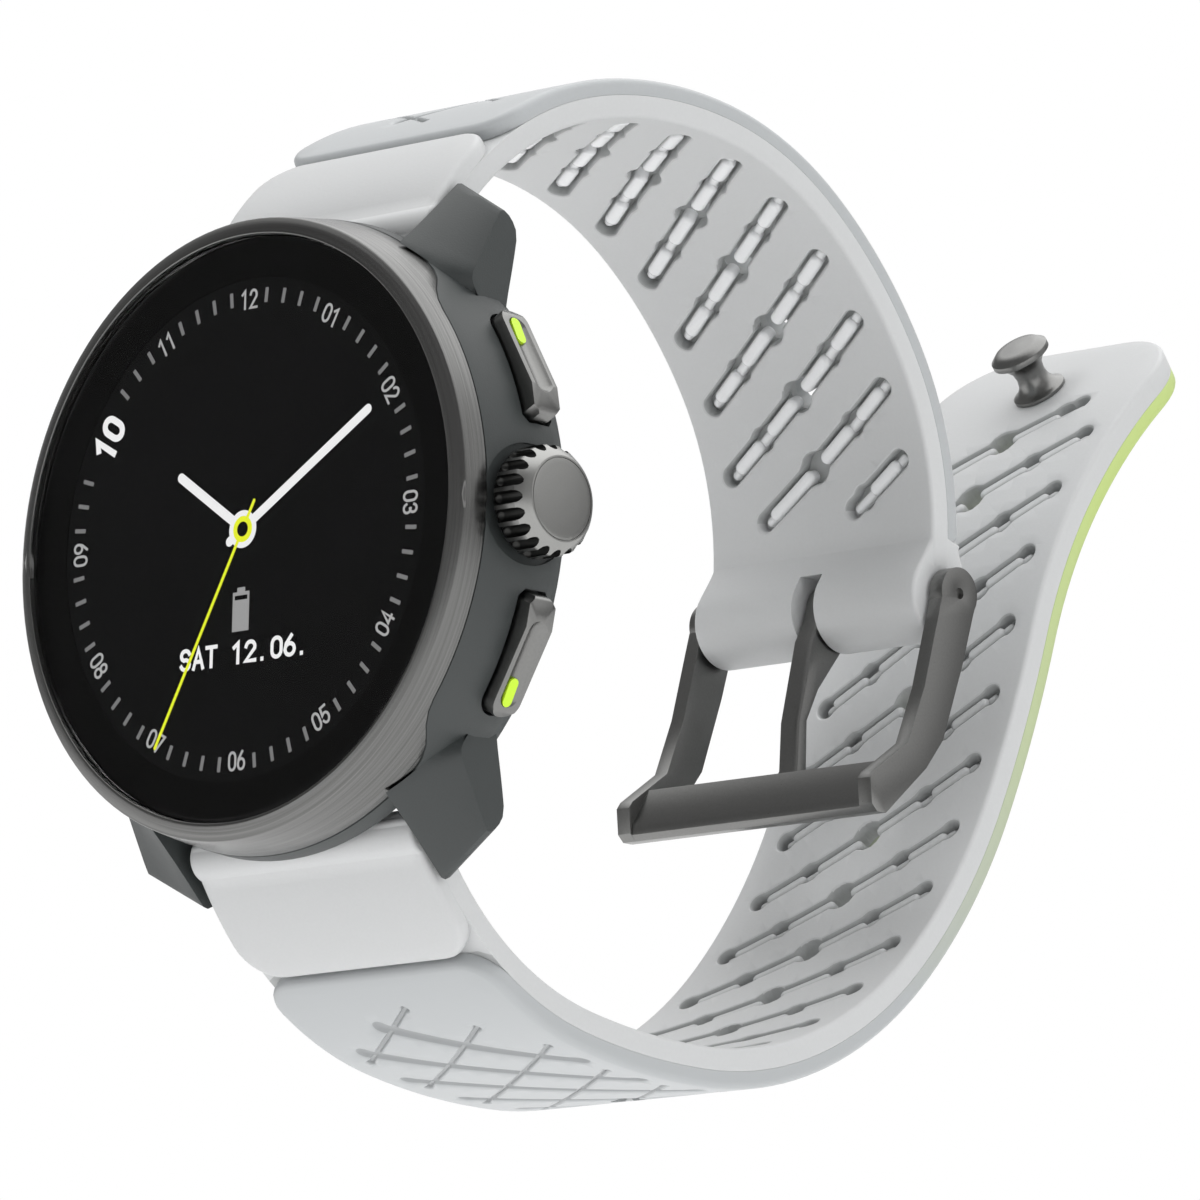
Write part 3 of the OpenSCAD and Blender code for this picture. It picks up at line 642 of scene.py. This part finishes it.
# Where painted shade goes in the cuts of the inner and the outer layer: how near to the middle line,
# how far across, and from which station on
INNER_SHADE_ZONE, OUTER_SHADE_ZONE = (1.3, 10.25, 9.5), (1.34, 8.8, 12.2)
# A strap's last stretch has no cuts
PLAIN_END = 7
STATION_STEP = 0.2


def slot_span(centre, slant, s_low, s_high):
    """The part of a slot, in t, that lies between two stations."""
    ds = slant / math.hypot(slant, 1)
    a, b = sorted(((s_low - centre) / ds, (s_high - centre) / ds))
    return max(-REACH, a), min(REACH, b)


def slots(centres, slant, end_r, quarter_r, s_low, s_high):
    """For each slot its centre, its span and the bulges in it."""
    out = []
    for centre in centres:
        t0, t1 = slot_span(centre, slant, s_low, s_high)
        t0, t1 = t0 + end_r, t1 - end_r
        if t1 - t0 < 2:
            continue
        bulges = [(t0, end_r), (t1, end_r)]
        for t, r in ((-QUARTER, quarter_r), (0.0, HOLE_R), (QUARTER, quarter_r)):
            if t0 + 1.2 < t < t1 - 1.2:
                bulges.append((t, r))
        out.append((centre, t0, t1, sorted(bulges)))
    return out


def cut_slots(core, route, found, slant, half):
    """Cuts the slots into the inner face, with a small round lip."""
    levels = [(INNER - 0.6, 0.2), (INNER, 0.2), (INNER + 0.05, 0.09), (INNER + 0.16, 0.0), (INNER + 1.0, 0.0)]
    tool = gather("slots", [channel(route, c, slant, t0, t1, half, b, levels) for c, t0, t1, b in found])
    combine(core, tool, "DIFFERENCE")


def ribs(name, route, found, slant, body, look, half, top):
    """The outer layer's bars that show in the slots: their half width, and how deep their top lies. Their
    look is lighter than the outer layer's own: painted light shining through the thin silicone.
    """
    base = INNER + 1.1
    parts = []
    for centre, t0, t1, bulges in found:
        for (a, ra), (b, rb) in zip(bulges, bulges[1:]):
            a, b = a + ra * 0.55 + half, b - rb * 0.55 - half
            if b - a < 0.6:
                continue
            levels = [(base, 0.0), (INNER + top + 0.25, 0.0), (INNER + top + 0.1, -0.07),
                      (INNER + top + 0.02, -half * 0.45), (INNER + top, -half * 0.75)]
            parts.append(channel(route, centre, slant, a, b, half, [(a, half), (b, half)], levels, 28))
        for a, b in ((t0, -HOLE_R - 0.3), (HOLE_R + 0.3, t1)):
            a, b = max(a, t0), min(b, t1)
            if b - a > 1.5:
                low = half * 0.7
                levels = [(INNER + 1.15, 0.0), (INNER + top + 0.45, 0.0), (INNER + top + 0.3, -low * 0.5)]
                parts.append(channel(route, centre, slant, a, b, low, [(a, low), (b, low)], levels, 20))
    piece(gather(name, parts), look, body, 50)


def paint_deep_shade(obj, route, look, near, across, s_low):
    """Gives the faces inside the cuts a darker look of their own: painted shade in the recesses."""
    stations = np.array([route.at(s)[:2] for s in np.arange(0, route.length, STATION_STEP)])
    centres = np.array([tuple(face.center) for face in obj.data.polygons]) / MM
    gap = np.hypot(centres[:, None, 1] - stations[None, :, 0], centres[:, None, 2] - stations[None, :, 1])
    along = gap.argmin(1) * STATION_STEP
    deep = (gap.min(1) < near) & (np.abs(centres[:, 0]) < across)
    deep &= (along > s_low) & (along < route.length - PLAIN_END)
    obj.data.materials.append(MATS[look])
    for face, inside in zip(obj.data.polygons, deep):
        face.material_index = int(inside)


def cut_holes(obj, route, centres):
    steps = 32
    parts = []
    for centre in centres:
        verts = []
        for w in (-2.2, 2.2):
            for i in range(steps):
                t = 2 * math.pi * i / steps
                verts.append(route.near(centre, HOLE_R * math.cos(t), HOLE_R * math.sin(t), w))
        parts.append((verts, tube_faces(2, steps) + end_faces(2, steps)))
    combine(obj, gather("holes", parts), "DIFFERENCE")


# Stations where the lattice starts and where each family's first groove crosses the strap's middle
LATTICE_START = 12.3
WIDE_FIRST, THIN_FIRST = 16.3, 13.1
LATTICE_ROWS = 20
WIDE_HALF, THIN_HALF, GROOVE_END = 0.5, 0.16, 0.12


def cut_lattice(obj, route, s_high):
    """Two families of slanting grooves on the outer face: soft wide ones and thin ones.

    Each level of a groove is a height w, and how much wider the groove is there than its half width.
    """
    wide, thin = [], []
    stretch = math.hypot(SLANT, 1)
    wide_levels = [(OUTER + 0.4, 0.2), (OUTER, 0.2), (OUTER - 0.08, 0.06), (OUTER - 0.26, -0.08),
                   (OUTER - 0.34, -0.34)]
    thin_levels = [(OUTER + 0.4, 0.12), (OUTER, 0.12), (OUTER - 0.08, 0.03), (OUTER - 0.24, -0.04)]
    for k in range(LATTICE_ROWS):
        for first, sign, store in ((WIDE_FIRST, 1, wide), (THIN_FIRST, -1, thin)):
            centre = first + PITCH * k
            edge = (centre - LATTICE_START) / (2 * SLANT)
            lo, hi = (max(-8.0, -edge), 8.3) if sign > 0 else (-8.0, min(8.3, edge))
            last = (s_high - centre) / SLANT
            lo, hi = (lo, min(hi, last)) if sign > 0 else (max(lo, -last), hi)
            if hi - lo < 2:
                continue
            half = WIDE_HALF if sign > 0 else THIN_HALF
            t0, t1 = lo * stretch, hi * stretch
            ends = [(t, half + GROOVE_END) for t in (t0, t1)]
            levels = wide_levels if sign > 0 else thin_levels
            store.append(channel(route, centre, sign * SLANT, t0, t1, half, ends, levels, 36))
    combine(obj, gather("wide_grooves", wide), "DIFFERENCE")
    combine(obj, gather("thin_grooves", thin), "DIFFERENCE")


def release_opening(obj, route):
    """The bar's bore, and the slot that the quick release slides in."""
    combine(obj, rod_x("bore", route, 0, BAR_R + 0.02, -12, 12), "DIFFERENCE")
    corners = [route.near(0, a, x, w) for x in (5.2, 8.0) for a in (-0.5, 0.5) for w in (-4.0, 0.2)]
    combine(obj, raw("release_slot", corners, BOX_FACES), "DIFFERENCE")


def tongue_notch(core, route):
    """The gap in the rolled end that the buckle's tongue stands in."""
    y, z, _ = route.at(route.length)
    spans = ((-1.05, 1.05), (y - 5.0, y + 5.0), (z - 5.0, z + 2.3))
    corners = [(a * MM, b * MM, c * MM) for a in spans[0] for b in spans[1] for c in spans[2]]
    combine(core, raw("tongue_notch", corners, BOX_FACES), "DIFFERENCE")


def roll_end(route):
    """The strap's rolled end round the buckle pin, which flows out of both faces."""
    def blend_in(side, start):
        """A Hermite curve from the flat face to the roll."""
        a = math.radians(ROLL_TURN)
        end = (ROLL_R * math.cos(a), side * ROLL_R * math.sin(a))
        begin = (start, side * 1.37)
        speed, lean = (3.2, 0), (2.6, side * 0.7)
        out = []
        for i in range(9):
            t = i / 9
            h = (2 * t**3 - 3 * t**2 + 1, t**3 - 2 * t**2 + t, -2 * t**3 + 3 * t**2, t**3 - t**2)
            out.append(tuple(h[0] * begin[k] + h[1] * speed[k] + h[2] * end[k] + h[3] * lean[k]
                             for k in (0, 1)))
        return out
    outline = blend_in(-1, -4.6)
    outline += [(ROLL_R * math.cos(math.radians(t)), ROLL_R * math.sin(math.radians(t)))
                for t in range(-ROLL_TURN, ROLL_TURN + 1, 6)]
    outline += blend_in(1, -4.0)[::-1]
    points = np.array(outline)
    ahead, behind = np.roll(points, -1, 0), np.roll(points, 1, 0)
    run = ahead - behind
    normals = np.c_[run[:, 1], -run[:, 0]] / np.linalg.norm(run, axis=1)[:, None]
    verts = []
    edge = 0.3
    turns = [math.radians(a) for a in (0, 30, 60, 90)]
    stations = [(0.04 - HALF_W + edge * (1 - math.cos(t)), edge * (1 - math.sin(t))) for t in turns]
    stations += [(x, 0.0) for x in np.linspace(-9, 9, 9)]
    stations += [(-x, inset) for x, inset in stations[3::-1]]
    for x, inset in stations:
        for a, w in points - normals * inset:
            verts.append(route.near(route.length, a, x, w))
    n = len(points)
    return raw("roll", verts, tube_faces(len(stations), n) + end_faces(len(stations), n))


def strap_core(name, route, end, end_r):
    """The inner layer of a strap half, with its thick block and its eye."""
    core = slab(name, route, 0.6, end, r0=0.3, r1=end_r, low=INNER, high=SPLIT,
                edge_low=0.3, edge_high=0.05)
    block = slab("block", route, BLOCK_START, BLOCK_END, r0=0.3, r1=3.0, low=INNER + 0.25,
                 high=BLOCK_TOP, edge_low=0.1, edge_high=0.45, half=HALF_W - 0.03)
    combine(core, block, "UNION")
    eye = rod_x("eye", route, 0, EYE_R, 0.06 - HALF_W, HALF_W - 0.06, edge=0.3, steps=64)
    combine(core, eye, "UNION")
    return core


def finish_core(core, route, body, replaced):
    """Opens the bore and the release slot, makes the inner layer a piece, and paints shade in its slots."""
    release_opening(core, route)
    piece(core, "silicone", body, STRAP_SHARP, (replaced,))
    paint_deep_shade(core, route, "slot_painted_shade", *INNER_SHADE_ZONE)


def build_cover(name, route, end, end_r, lattice_end, holes, looks, body, replaced):
    """The outer layer of a strap half; looks are its face's and the painted shade in its cuts."""
    over = slab(name, route, COVER_START, end, r0=2.6, r1=end_r, low=SPLIT, high=OUTER,
                edge_low=0.05, edge_high=0.5)
    cut_lattice(over, route, lattice_end)
    cut_holes(over, route, holes)
    piece(over, looks[0], body, STRAP_SHARP, (replaced,))
    paint_deep_shade(over, route, looks[1], *OUTER_SHADE_ZONE)


def build_upper_strap():
    route = UPPER
    end = route.length
    core = strap_core("strap_upper_band", route, end - 1.5, 0.2)
    combine(core, roll_end(route), "UNION")
    found = slots(UPPER_CENTRES, -SLANT, end_r=0.75, quarter_r=0.95, s_low=8, s_high=end - 6.6)
    cut_slots(core, route, found, -SLANT, UPPER_SLOT_HALF)
    cut_holes(core, route, UPPER_HOLES)
    combine(core, rod_x("pin_hole", route, end, PIN_R, -12, 12), "DIFFERENCE")
    tongue_notch(core, route)
    finish_core(core, route, "upper_strap", "strap_upper")
    build_cover("strap_upper_cover", route, end - COVER_SHORT, 0.2, UPPER_LATTICE_END, UPPER_HOLES,
                ("clear_silicone", "groove_painted_shade"), "upper_strap", "strap_upper_overlay")
    ribs("strap_upper_ribs", route, found, -SLANT, "upper_strap", "gloss_painted_light_silicone", half=0.52, top=0.16)


def build_lower_strap():
    route = LOWER
    end = route.length
    core = strap_core("strap_lower_band", route, end, TAIL_R)
    found = slots(LOWER_CENTRES, SLANT, end_r=0.78, quarter_r=0.9, s_low=10, s_high=105.4)
    cut_slots(core, route, found, SLANT, LOWER_SLOT_HALF)
    cut_holes(core, route, LOWER_HOLES)
    finish_core(core, route, "lower_strap", "strap_lower")
    build_cover("strap_lower_cover", route, end, TAIL_R, LOWER_LATTICE_END, LOWER_HOLES,
                ("tail_silicone", "tail_groove_painted_shade"), "lower_strap", "strap_lower_overlay")
    ribs("strap_lower_ribs", route, found, SLANT, "lower_strap", "silicone", half=0.45, top=0.15)


# ---- glass and dial ----

# Millimetres: heights from the case's back face, then places and sizes on the dial
DISPLAY_H = 10.5
MARK_H, MARK_HALF = DISPLAY_H + 0.015, 0.01
DIAL_SHARP = 30
TICK_R = 15.74
NUMERAL_R, NUMERAL_SIZE, NUMERAL_STROKE = 15.55, (1.6, 1.35), 0.17
TEN_R, TEN_ANGLE, TEN_SIZE, TEN_STROKE = 15.15, 300.4, (3.0, 2.25), 0.46
DATE_AT, DATE_SIZE, DATE_STROKE = (0.4, -8.3), (12.2, 1.55), 0.27
# Each hand: the radius where it starts and ends, its clock angle, and its width
HOUR_HAND = (0.6, 7.6, 304.6, 0.66)
MINUTE_HAND = (-1.75, 13.6, 59.6, 0.66)
SECONDS_HAND = (-2.2, 16.1, 209.2, 0.24)
WHITE_HUB_R, LIME_HUB_R, DARK_HUB_R = 1.27, 0.88, 0.5


def on_dial(x, z, h):
    return (x * MM, -h * MM, z * MM)


def plate(name, loops, h0, h1, look):
    """Thin flat shapes on the dial. Each loop is a list of (x, z)."""
    parts = []
    for loop in loops:
        n = len(loop)
        verts = [on_dial(x, z, h) for h in (h0, h1) for x, z in loop]
        parts.append((verts, tube_faces(2, n) + end_faces(2, n)))
    piece(gather(name, parts), look, "case", DIAL_SHARP)


def clock(radius, angle):
    """The place on the dial at a radius and a clock angle in degrees from 12."""
    a = math.radians(angle)
    return (radius * math.sin(a), radius * math.cos(a))


def bar_loop(r0, r1, angle, width, round_ends=True):
    """A bar on the dial from radius r0 to r1 at a clock angle."""
    a = math.radians(angle)
    u, v = (math.sin(a), math.cos(a)), (math.cos(a), -math.sin(a))
    half = width / 2
    local = [(r0, -half), (r1, -half), (r1, half), (r0, half)]
    if round_ends:
        ends = ((r1 - half, range(-90, 91, 15)), (r0 + half, range(90, 271, 15)))
        local = [(r + half * math.cos(t), half * math.sin(t)) for r, turns in ends for t in np.radians(turns)]
    return [(p * u[0] + q * v[0], p * u[1] + q * v[1]) for p, q in local]


def disc_loop(radius, steps=64):
    return [clock(radius, -360 * i / steps) for i in range(steps)]


def ring_plate(name, r_in, r_out, h0, h1, look, steps=128):
    """A flat ring on the dial."""
    verts = []
    for radius, h in ((r_in, h0), (r_out, h0), (r_out, h1), (r_in, h1)):
        verts += [on_dial(*clock(radius, 360 * i / steps), h) for i in range(steps)]
    faces = tube_faces(4, steps) + [(3 * steps + i, 3 * steps + (i + 1) % steps, (i + 1) % steps, i)
                                    for i in range(steps)]
    piece(raw(name, verts, faces), look, "case", DIAL_SHARP)


def curve_run(cx, cy, rx, ry, a0, a1, steps=9):
    """Points on part of an ellipse, between two angles in degrees."""
    return [(cx + rx * math.cos(math.radians(a0 + (a1 - a0) * i / steps)),
             cy + ry * math.sin(math.radians(a0 + (a1 - a0) * i / steps))) for i in range(steps + 1)]


def glyph_strokes():
    """Centre lines of plain digits, three letters and a dot, in a box 0.56 wide and 1 high."""
    full = curve_run(0.28, 0.68, 0.28, 0.32, 0, 180) + curve_run(0.28, 0.32, 0.28, 0.32, 180, 360)
    low_ring = curve_run(0.28, 0.3, 0.28, 0.3, 90, 450, 20)
    high_ring = curve_run(0.28, 0.7, 0.28, 0.3, 90, 450, 20)
    return {
        "0": [full + full[:1]],
        "1": [[(0.08, 0.8), (0.32, 1.0), (0.32, 0.0)]],
        "2": [curve_run(0.28, 0.72, 0.27, 0.28, 170, -20) + [(0.0, 0.0), (0.56, 0.0)]],
        "3": [curve_run(0.27, 0.74, 0.25, 0.26, 165, -90), curve_run(0.26, 0.27, 0.28, 0.27, 90, -165)],
        "4": [[(0.42, 0.0), (0.42, 1.0), (0.0, 0.25), (0.56, 0.25)]],
        "5": [[(0.5, 1.0), (0.08, 1.0), (0.04, 0.52)] + curve_run(0.27, 0.31, 0.28, 0.31, 130, -160)],
        "6": [low_ring, [(0.0, 0.32), (0.06, 0.6), (0.36, 1.0)]],
        "7": [[(0.0, 1.0), (0.54, 1.0), (0.18, 0.0)]],
        "8": [curve_run(0.28, 0.75, 0.24, 0.25, -90, 270, 20),
              curve_run(0.28, 0.26, 0.28, 0.26, 90, 450, 20)],
        "9": [high_ring, [(0.56, 0.68), (0.5, 0.4), (0.2, 0.0)]],
        "S": [curve_run(0.28, 0.74, 0.25, 0.26, 20, 250) + curve_run(0.28, 0.26, 0.26, 0.26, 80, -160)],
        "A": [[(0.0, 0.0), (0.28, 1.0), (0.56, 0.0)], [(0.1, 0.33), (0.46, 0.33)]],
        "T": [[(0.0, 1.0), (0.56, 1.0)], [(0.28, 1.0), (0.28, 0.0)]],
        ".": [[(0.2, 0.0), (0.2, 0.01)]],
        " ": [],
    }


STROKES = glyph_strokes()


def ribbon_sides(line, closed, stroke):
    """The left and right point of a flat ribbon at each point of its centre line."""
    n = len(line)
    sides = []
    for i in range(n):
        before = line[i] - line[i - 1] if closed or i else line[1] - line[0]
        after = line[(i + 1) % n] - line[i] if closed or i < n - 1 else line[-1] - line[-2]
        u, v = before / np.linalg.norm(before), after / np.linalg.norm(after)
        out = np.array((-(u + v)[1], (u + v)[0]))
        out = out / np.linalg.norm(out)
        reach = stroke / 2 / max(0.5, abs(out @ np.array((-u[1], u[0]))))
        sides.append((line[i] + out * reach, line[i] - out * reach))
    return sides


def ribbon_faces(n, closed):
    """The faces of a ribbon with n pairs of points on each of two levels."""
    faces = []
    m, e = 2 * n, 2 * (n - 1)
    for i in range(n if closed else n - 1):
        j = (i + 1) % n
        l0, r0, l1, r1 = 2 * i, 2 * i + 1, 2 * j, 2 * j + 1
        faces += [(l0, r0, r1, l1), (m + l0, m + l1, m + r1, m + r0), (l0, l1, m + l1, m + l0),
                  (r0, m + r0, m + r1, r1)]
    if not closed:
        faces += [(0, m, m + 1, 1), (e, e + 1, m + e + 1, m + e)]
    return faces


def words(text, width, height, centre, angle, stroke):
    """Letters drawn as flat ribbons, within a width and a height in millimetres."""
    pitch = (width - stroke) / (len(text) - 1 + 0.7)
    wide = pitch * 0.7 / 0.56
    a = math.radians(angle)
    parts = []
    for index, letter in enumerate(text):
        for run in STROKES[letter]:
            line = [np.array((index * pitch + x * wide - (width - stroke) / 2,
                              (y - 0.5) * (height - stroke))) for x, y in run]
            closed = len(line) > 4 and np.linalg.norm(line[0] - line[-1]) < 0.02
            if closed:
                line = line[:-1]
            else:
                first, last = line[1] - line[0], line[-1] - line[-2]
                line[0] = line[0] - first / np.linalg.norm(first) * stroke / 2
                line[-1] = line[-1] + last / np.linalg.norm(last) * stroke / 2
            verts = []
            for level in (MARK_H - MARK_HALF, MARK_H + MARK_HALF):
                for q in (point for pair in ribbon_sides(line, closed, stroke) for point in pair):
                    verts.append(on_dial(centre[0] + q[0] * math.cos(a) + q[1] * math.sin(a),
                                         centre[1] - q[0] * math.sin(a) + q[1] * math.cos(a), level))
            parts.append((verts, ribbon_faces(len(line), closed)))
    return parts


def hour_marks():
    """The hour numbers but for the ten: upright in the upper half, turned over in the lower half."""
    marks = []
    for hour in (1, 2, 3, 9, 11, 12, 4, 5, 6, 7, 8):
        angle = hour * 30
        turn = angle + 180 if 4 <= hour <= 8 else angle
        marks += words("%02d" % hour, *NUMERAL_SIZE, clock(NUMERAL_R, angle), turn, NUMERAL_STROKE)
    return marks


def battery_sign():
    """A body, a lid with its cap, and two thin walls between them."""
    half, cap = 0.77, 0.36
    foot, shoulder, lid_low, lid_top, cap_top = -6.86, -4.75, -4.45, -4.22, -3.92
    body = [(-half, foot), (half, foot), (half, shoulder), (-half, shoulder)]
    lid = [(-half, lid_low), (half, lid_low), (half, lid_top), (cap, lid_top), (cap, cap_top),
           (-cap, cap_top), (-cap, lid_top), (-half, lid_top)]
    left = [(-half, shoulder), (-0.6, shoulder), (-0.6, lid_low), (-half, lid_low)]
    right = [(0.6, shoulder), (half, shoulder), (half, lid_low), (0.6, lid_low)]
    return [body, lid, left, right]


def build_dial():
    piece(gather("dial_numerals", hour_marks()), "dial_grey", "case", DIAL_SHARP)
    ten = words("10", *TEN_SIZE, clock(TEN_R, TEN_ANGLE), 300, TEN_STROKE)
    piece(gather("dial_ten", ten), "dial_white", "case", DIAL_SHARP)
    ticks = [bar_loop(TICK_R - 0.5, TICK_R + 0.5, a, 0.28, False) for a in range(0, 360, 6)
             if a % 30 and a not in (294, 306)]
    plate("dial_ticks", ticks, MARK_H - MARK_HALF, MARK_H + MARK_HALF, "dial_tick")
    date = words("SAT 12.06.", *DATE_SIZE, DATE_AT, 0, DATE_STROKE)
    piece(gather("dial_date", date), "dial_white", "case", DIAL_SHARP)
    plate("dial_battery", battery_sign(), MARK_H - MARK_HALF, MARK_H + MARK_HALF, "dial_battery_grey")
    white = [bar_loop(*HOUR_HAND), bar_loop(*MINUTE_HAND), disc_loop(WHITE_HUB_R)]
    plate("dial_hands", white, MARK_H + 0.012, MARK_H + 0.022, "dial_white")
    lime = [bar_loop(*SECONDS_HAND), disc_loop(LIME_HUB_R)]
    plate("dial_seconds", lime, MARK_H + 0.024, MARK_H + 0.034, "dial_lime")
    plate("dial_hub", [disc_loop(DARK_HUB_R)], MARK_H + 0.036, MARK_H + 0.042, "display")


def build_glass():
    low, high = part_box("cover_glass")
    top, radius = -low[1] / MM, high[0] / MM
    profile = [(radius - 0.02, DISPLAY_H + 0.075), (radius, DISPLAY_H + 0.12), (radius, top - 0.22),
               (radius - 0.08, top - 0.08), (radius - 0.25, top), (radius - 0.6, top)]
    glass = lathe("watch_glass", profile, 160, lambda a, b, h: on_dial(a, b, h))
    piece(glass, "glass", "case", 25, ("cover_glass",))
    ring_plate("glass_mask", 16.9, radius - 0.03, DISPLAY_H + 0.01, DISPLAY_H + 0.06, "mask")


# ---- crown ----

CROWN_LOW, CROWN_HIGH = ([v / MM for v in corner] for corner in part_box("crown_knob"))
CROWN_H = -(CROWN_LOW[1] + CROWN_HIGH[1]) / 2
CROWN_R = (CROWN_HIGH[2] - CROWN_LOW[2]) / 2
CROWN_X0, CROWN_X1 = CROWN_LOW[0], CROWN_HIGH[0]
CROWN_SLOTS, CROWN_SLOT_R = 20, 0.42
# The slots' axes lie on this radius, and the first is turned by this share of the way to the next
CROWN_SLOT_AT, CROWN_SLOT_TURN = CROWN_R + 0.02, 0.25
SLOT_STEPS = 16


def on_crown(a, b, x):
    return (x * MM, (a - CROWN_H) * MM, b * MM)


def crown_slot(k):
    """A rod with a round inner end, which cuts slot k between two ridges."""
    turn = 2 * math.pi * (k + CROWN_SLOT_TURN) / CROWN_SLOTS
    end = CROWN_X0 + 0.66
    rings = [(end - CROWN_SLOT_R * math.cos(t), CROWN_SLOT_R * math.sin(t))
             for t in np.radians(range(0, 91, 15))]
    rings.append((CROWN_X1 - 0.3, CROWN_SLOT_R))
    verts = []
    for x, radius in rings:
        radius = max(radius, 0.004)
        for t in np.linspace(0, 2 * math.pi, SLOT_STEPS, endpoint=False):
            a, b = CROWN_SLOT_AT + radius * math.cos(t), radius * math.sin(t)
            verts.append(on_crown(a * math.cos(turn) - b * math.sin(turn),
                                  a * math.sin(turn) + b * math.cos(turn), x))
    return verts, tube_faces(len(rings), SLOT_STEPS) + end_faces(len(rings), SLOT_STEPS)


def paint_crown(grip):
    """Painted shade in the slots, dark ridges near the case, and a bright cone."""
    grip.data.materials.append(MATS["slot_dark"])
    grip.data.materials.append(MATS["dark_metal"])
    for face in grip.data.polygons:
        x, y, z = (v / MM for v in face.center)
        turn = math.atan2(z, y + CROWN_H) * CROWN_SLOTS / (2 * math.pi) - CROWN_SLOT_TURN
        off = (turn - round(turn)) * 2 * math.pi / CROWN_SLOTS
        radius = math.hypot(y + CROWN_H, z)
        gap = math.hypot(radius * math.cos(off) - CROWN_SLOT_AT, radius * math.sin(off))
        # The slots' faces get a near-black metal: painted shade.
        if x < CROWN_X1 - 0.35 and gap < CROWN_SLOT_R + 0.003:
            face.material_index = 1
        elif x < CROWN_X1 - 0.8:
            face.material_index = 2


def build_crown():
    """The crown's grip with a long slot between each pair of ridges, open towards the cone."""
    x0, x1, r = CROWN_X0, CROWN_X1, CROWN_R
    profile = [(1.95, x0 + 0.8), (1.95, x0), (r - 0.4, x0), (r - 0.12, x0 + 0.08), (r, x0 + 0.3),
               (r, x1 - 1.0), (r - 0.04, x1 - 0.85), (r - 0.14, x1 - 0.72), (3.3, x1 - 0.42),
               (2.9, x1 - 0.03), (2.84, x1), (2.74, x1), (2.74, x1 - 0.15)]
    grip = lathe("crown_grip", profile, 160, on_crown)
    combine(grip, gather("crown_slots", [crown_slot(k) for k in range(CROWN_SLOTS)]), "DIFFERENCE")
    piece(grip, "crown", "crown", 30, ("crown_knob",))
    paint_crown(grip)
    NODES["crown_cap"].data.materials[0] = MATS["crown"]


# ---- soft edges on the metal and polymer nodes ----

# The width of each node's soft edges in millimetres
EDGES = {"bezel": 0.08, "mid_case": 0.18, "buckle_frame": 0.3, "buckle_tongue": 0.22, "tail_stud": 0.12,
         "button_upper": 0.16, "button_lower": 0.16, "case_back": 0.1, "crown_cap": 0.05}
# Edges that turn by more than this count as sharp, in degrees, and points nearer than this are joined
SHARP_ANGLE = 38
WELD_GAP = 0.000002


def smooth_group():
    """Smooth shading, but for the edges that turn by more than SHARP_ANGLE."""
    group = bpy.data.node_groups.new("smooth_by_angle", "GeometryNodeTree")
    join = group.links.new
    for way in ("INPUT", "OUTPUT"):
        group.interface.new_socket("Geometry", in_out=way, socket_type="NodeSocketGeometry")
    start, end = node(group, "NodeGroupInput"), node(group, "NodeGroupOutput")
    clear = node(group, "GeometryNodeRemoveAttribute", Name="custom_normal")
    faces = node(group, "GeometryNodeSetShadeSmooth")
    all_edges = node(group, "GeometryNodeSetShadeSmooth", domain="EDGE")
    sharp_edges = node(group, "GeometryNodeSetShadeSmooth", domain="EDGE", Shade_Smooth=False)
    angle = node(group, "GeometryNodeInputMeshEdgeAngle")
    above = node(group, "FunctionNodeCompare", operation="GREATER_THAN")
    above.inputs[1].default_value = math.radians(SHARP_ANGLE)
    join(start.outputs[0], clear.inputs["Geometry"])
    join(clear.outputs[0], faces.inputs["Geometry"])
    join(faces.outputs[0], all_edges.inputs["Geometry"])
    join(all_edges.outputs[0], sharp_edges.inputs["Geometry"])
    join(angle.outputs["Unsigned Angle"], above.inputs[0])
    join(above.outputs[0], sharp_edges.inputs["Selection"])
    join(sharp_edges.outputs[0], end.inputs[0])
    return group


def soften_edges():
    group = smooth_group()
    for name, width in EDGES.items():
        NODES[name].modifiers.new("weld", "WELD").merge_threshold = WELD_GAP
        change = NODES[name].modifiers.new("soft_edges", "BEVEL")
        change.width = width * MM
        change.segments = 3
        change.limit_method = "ANGLE"
        change.angle_limit = math.radians(SHARP_ANGLE)
        change.use_clamp_overlap = True
        smooth = NODES[name].modifiers.new("smooth_by_angle", "NODES")
        smooth.node_group = group


build_grained()
build_bezel_steel()
build_tail_silicone()
build_dial_looks()
dress_nodes()
build_upper_strap()
build_lower_strap()
build_dial()
build_glass()
build_crown()
soften_edges()
add_camera()
add_world()
add_floor()
for light in LIGHTS:
    add_area(*light)
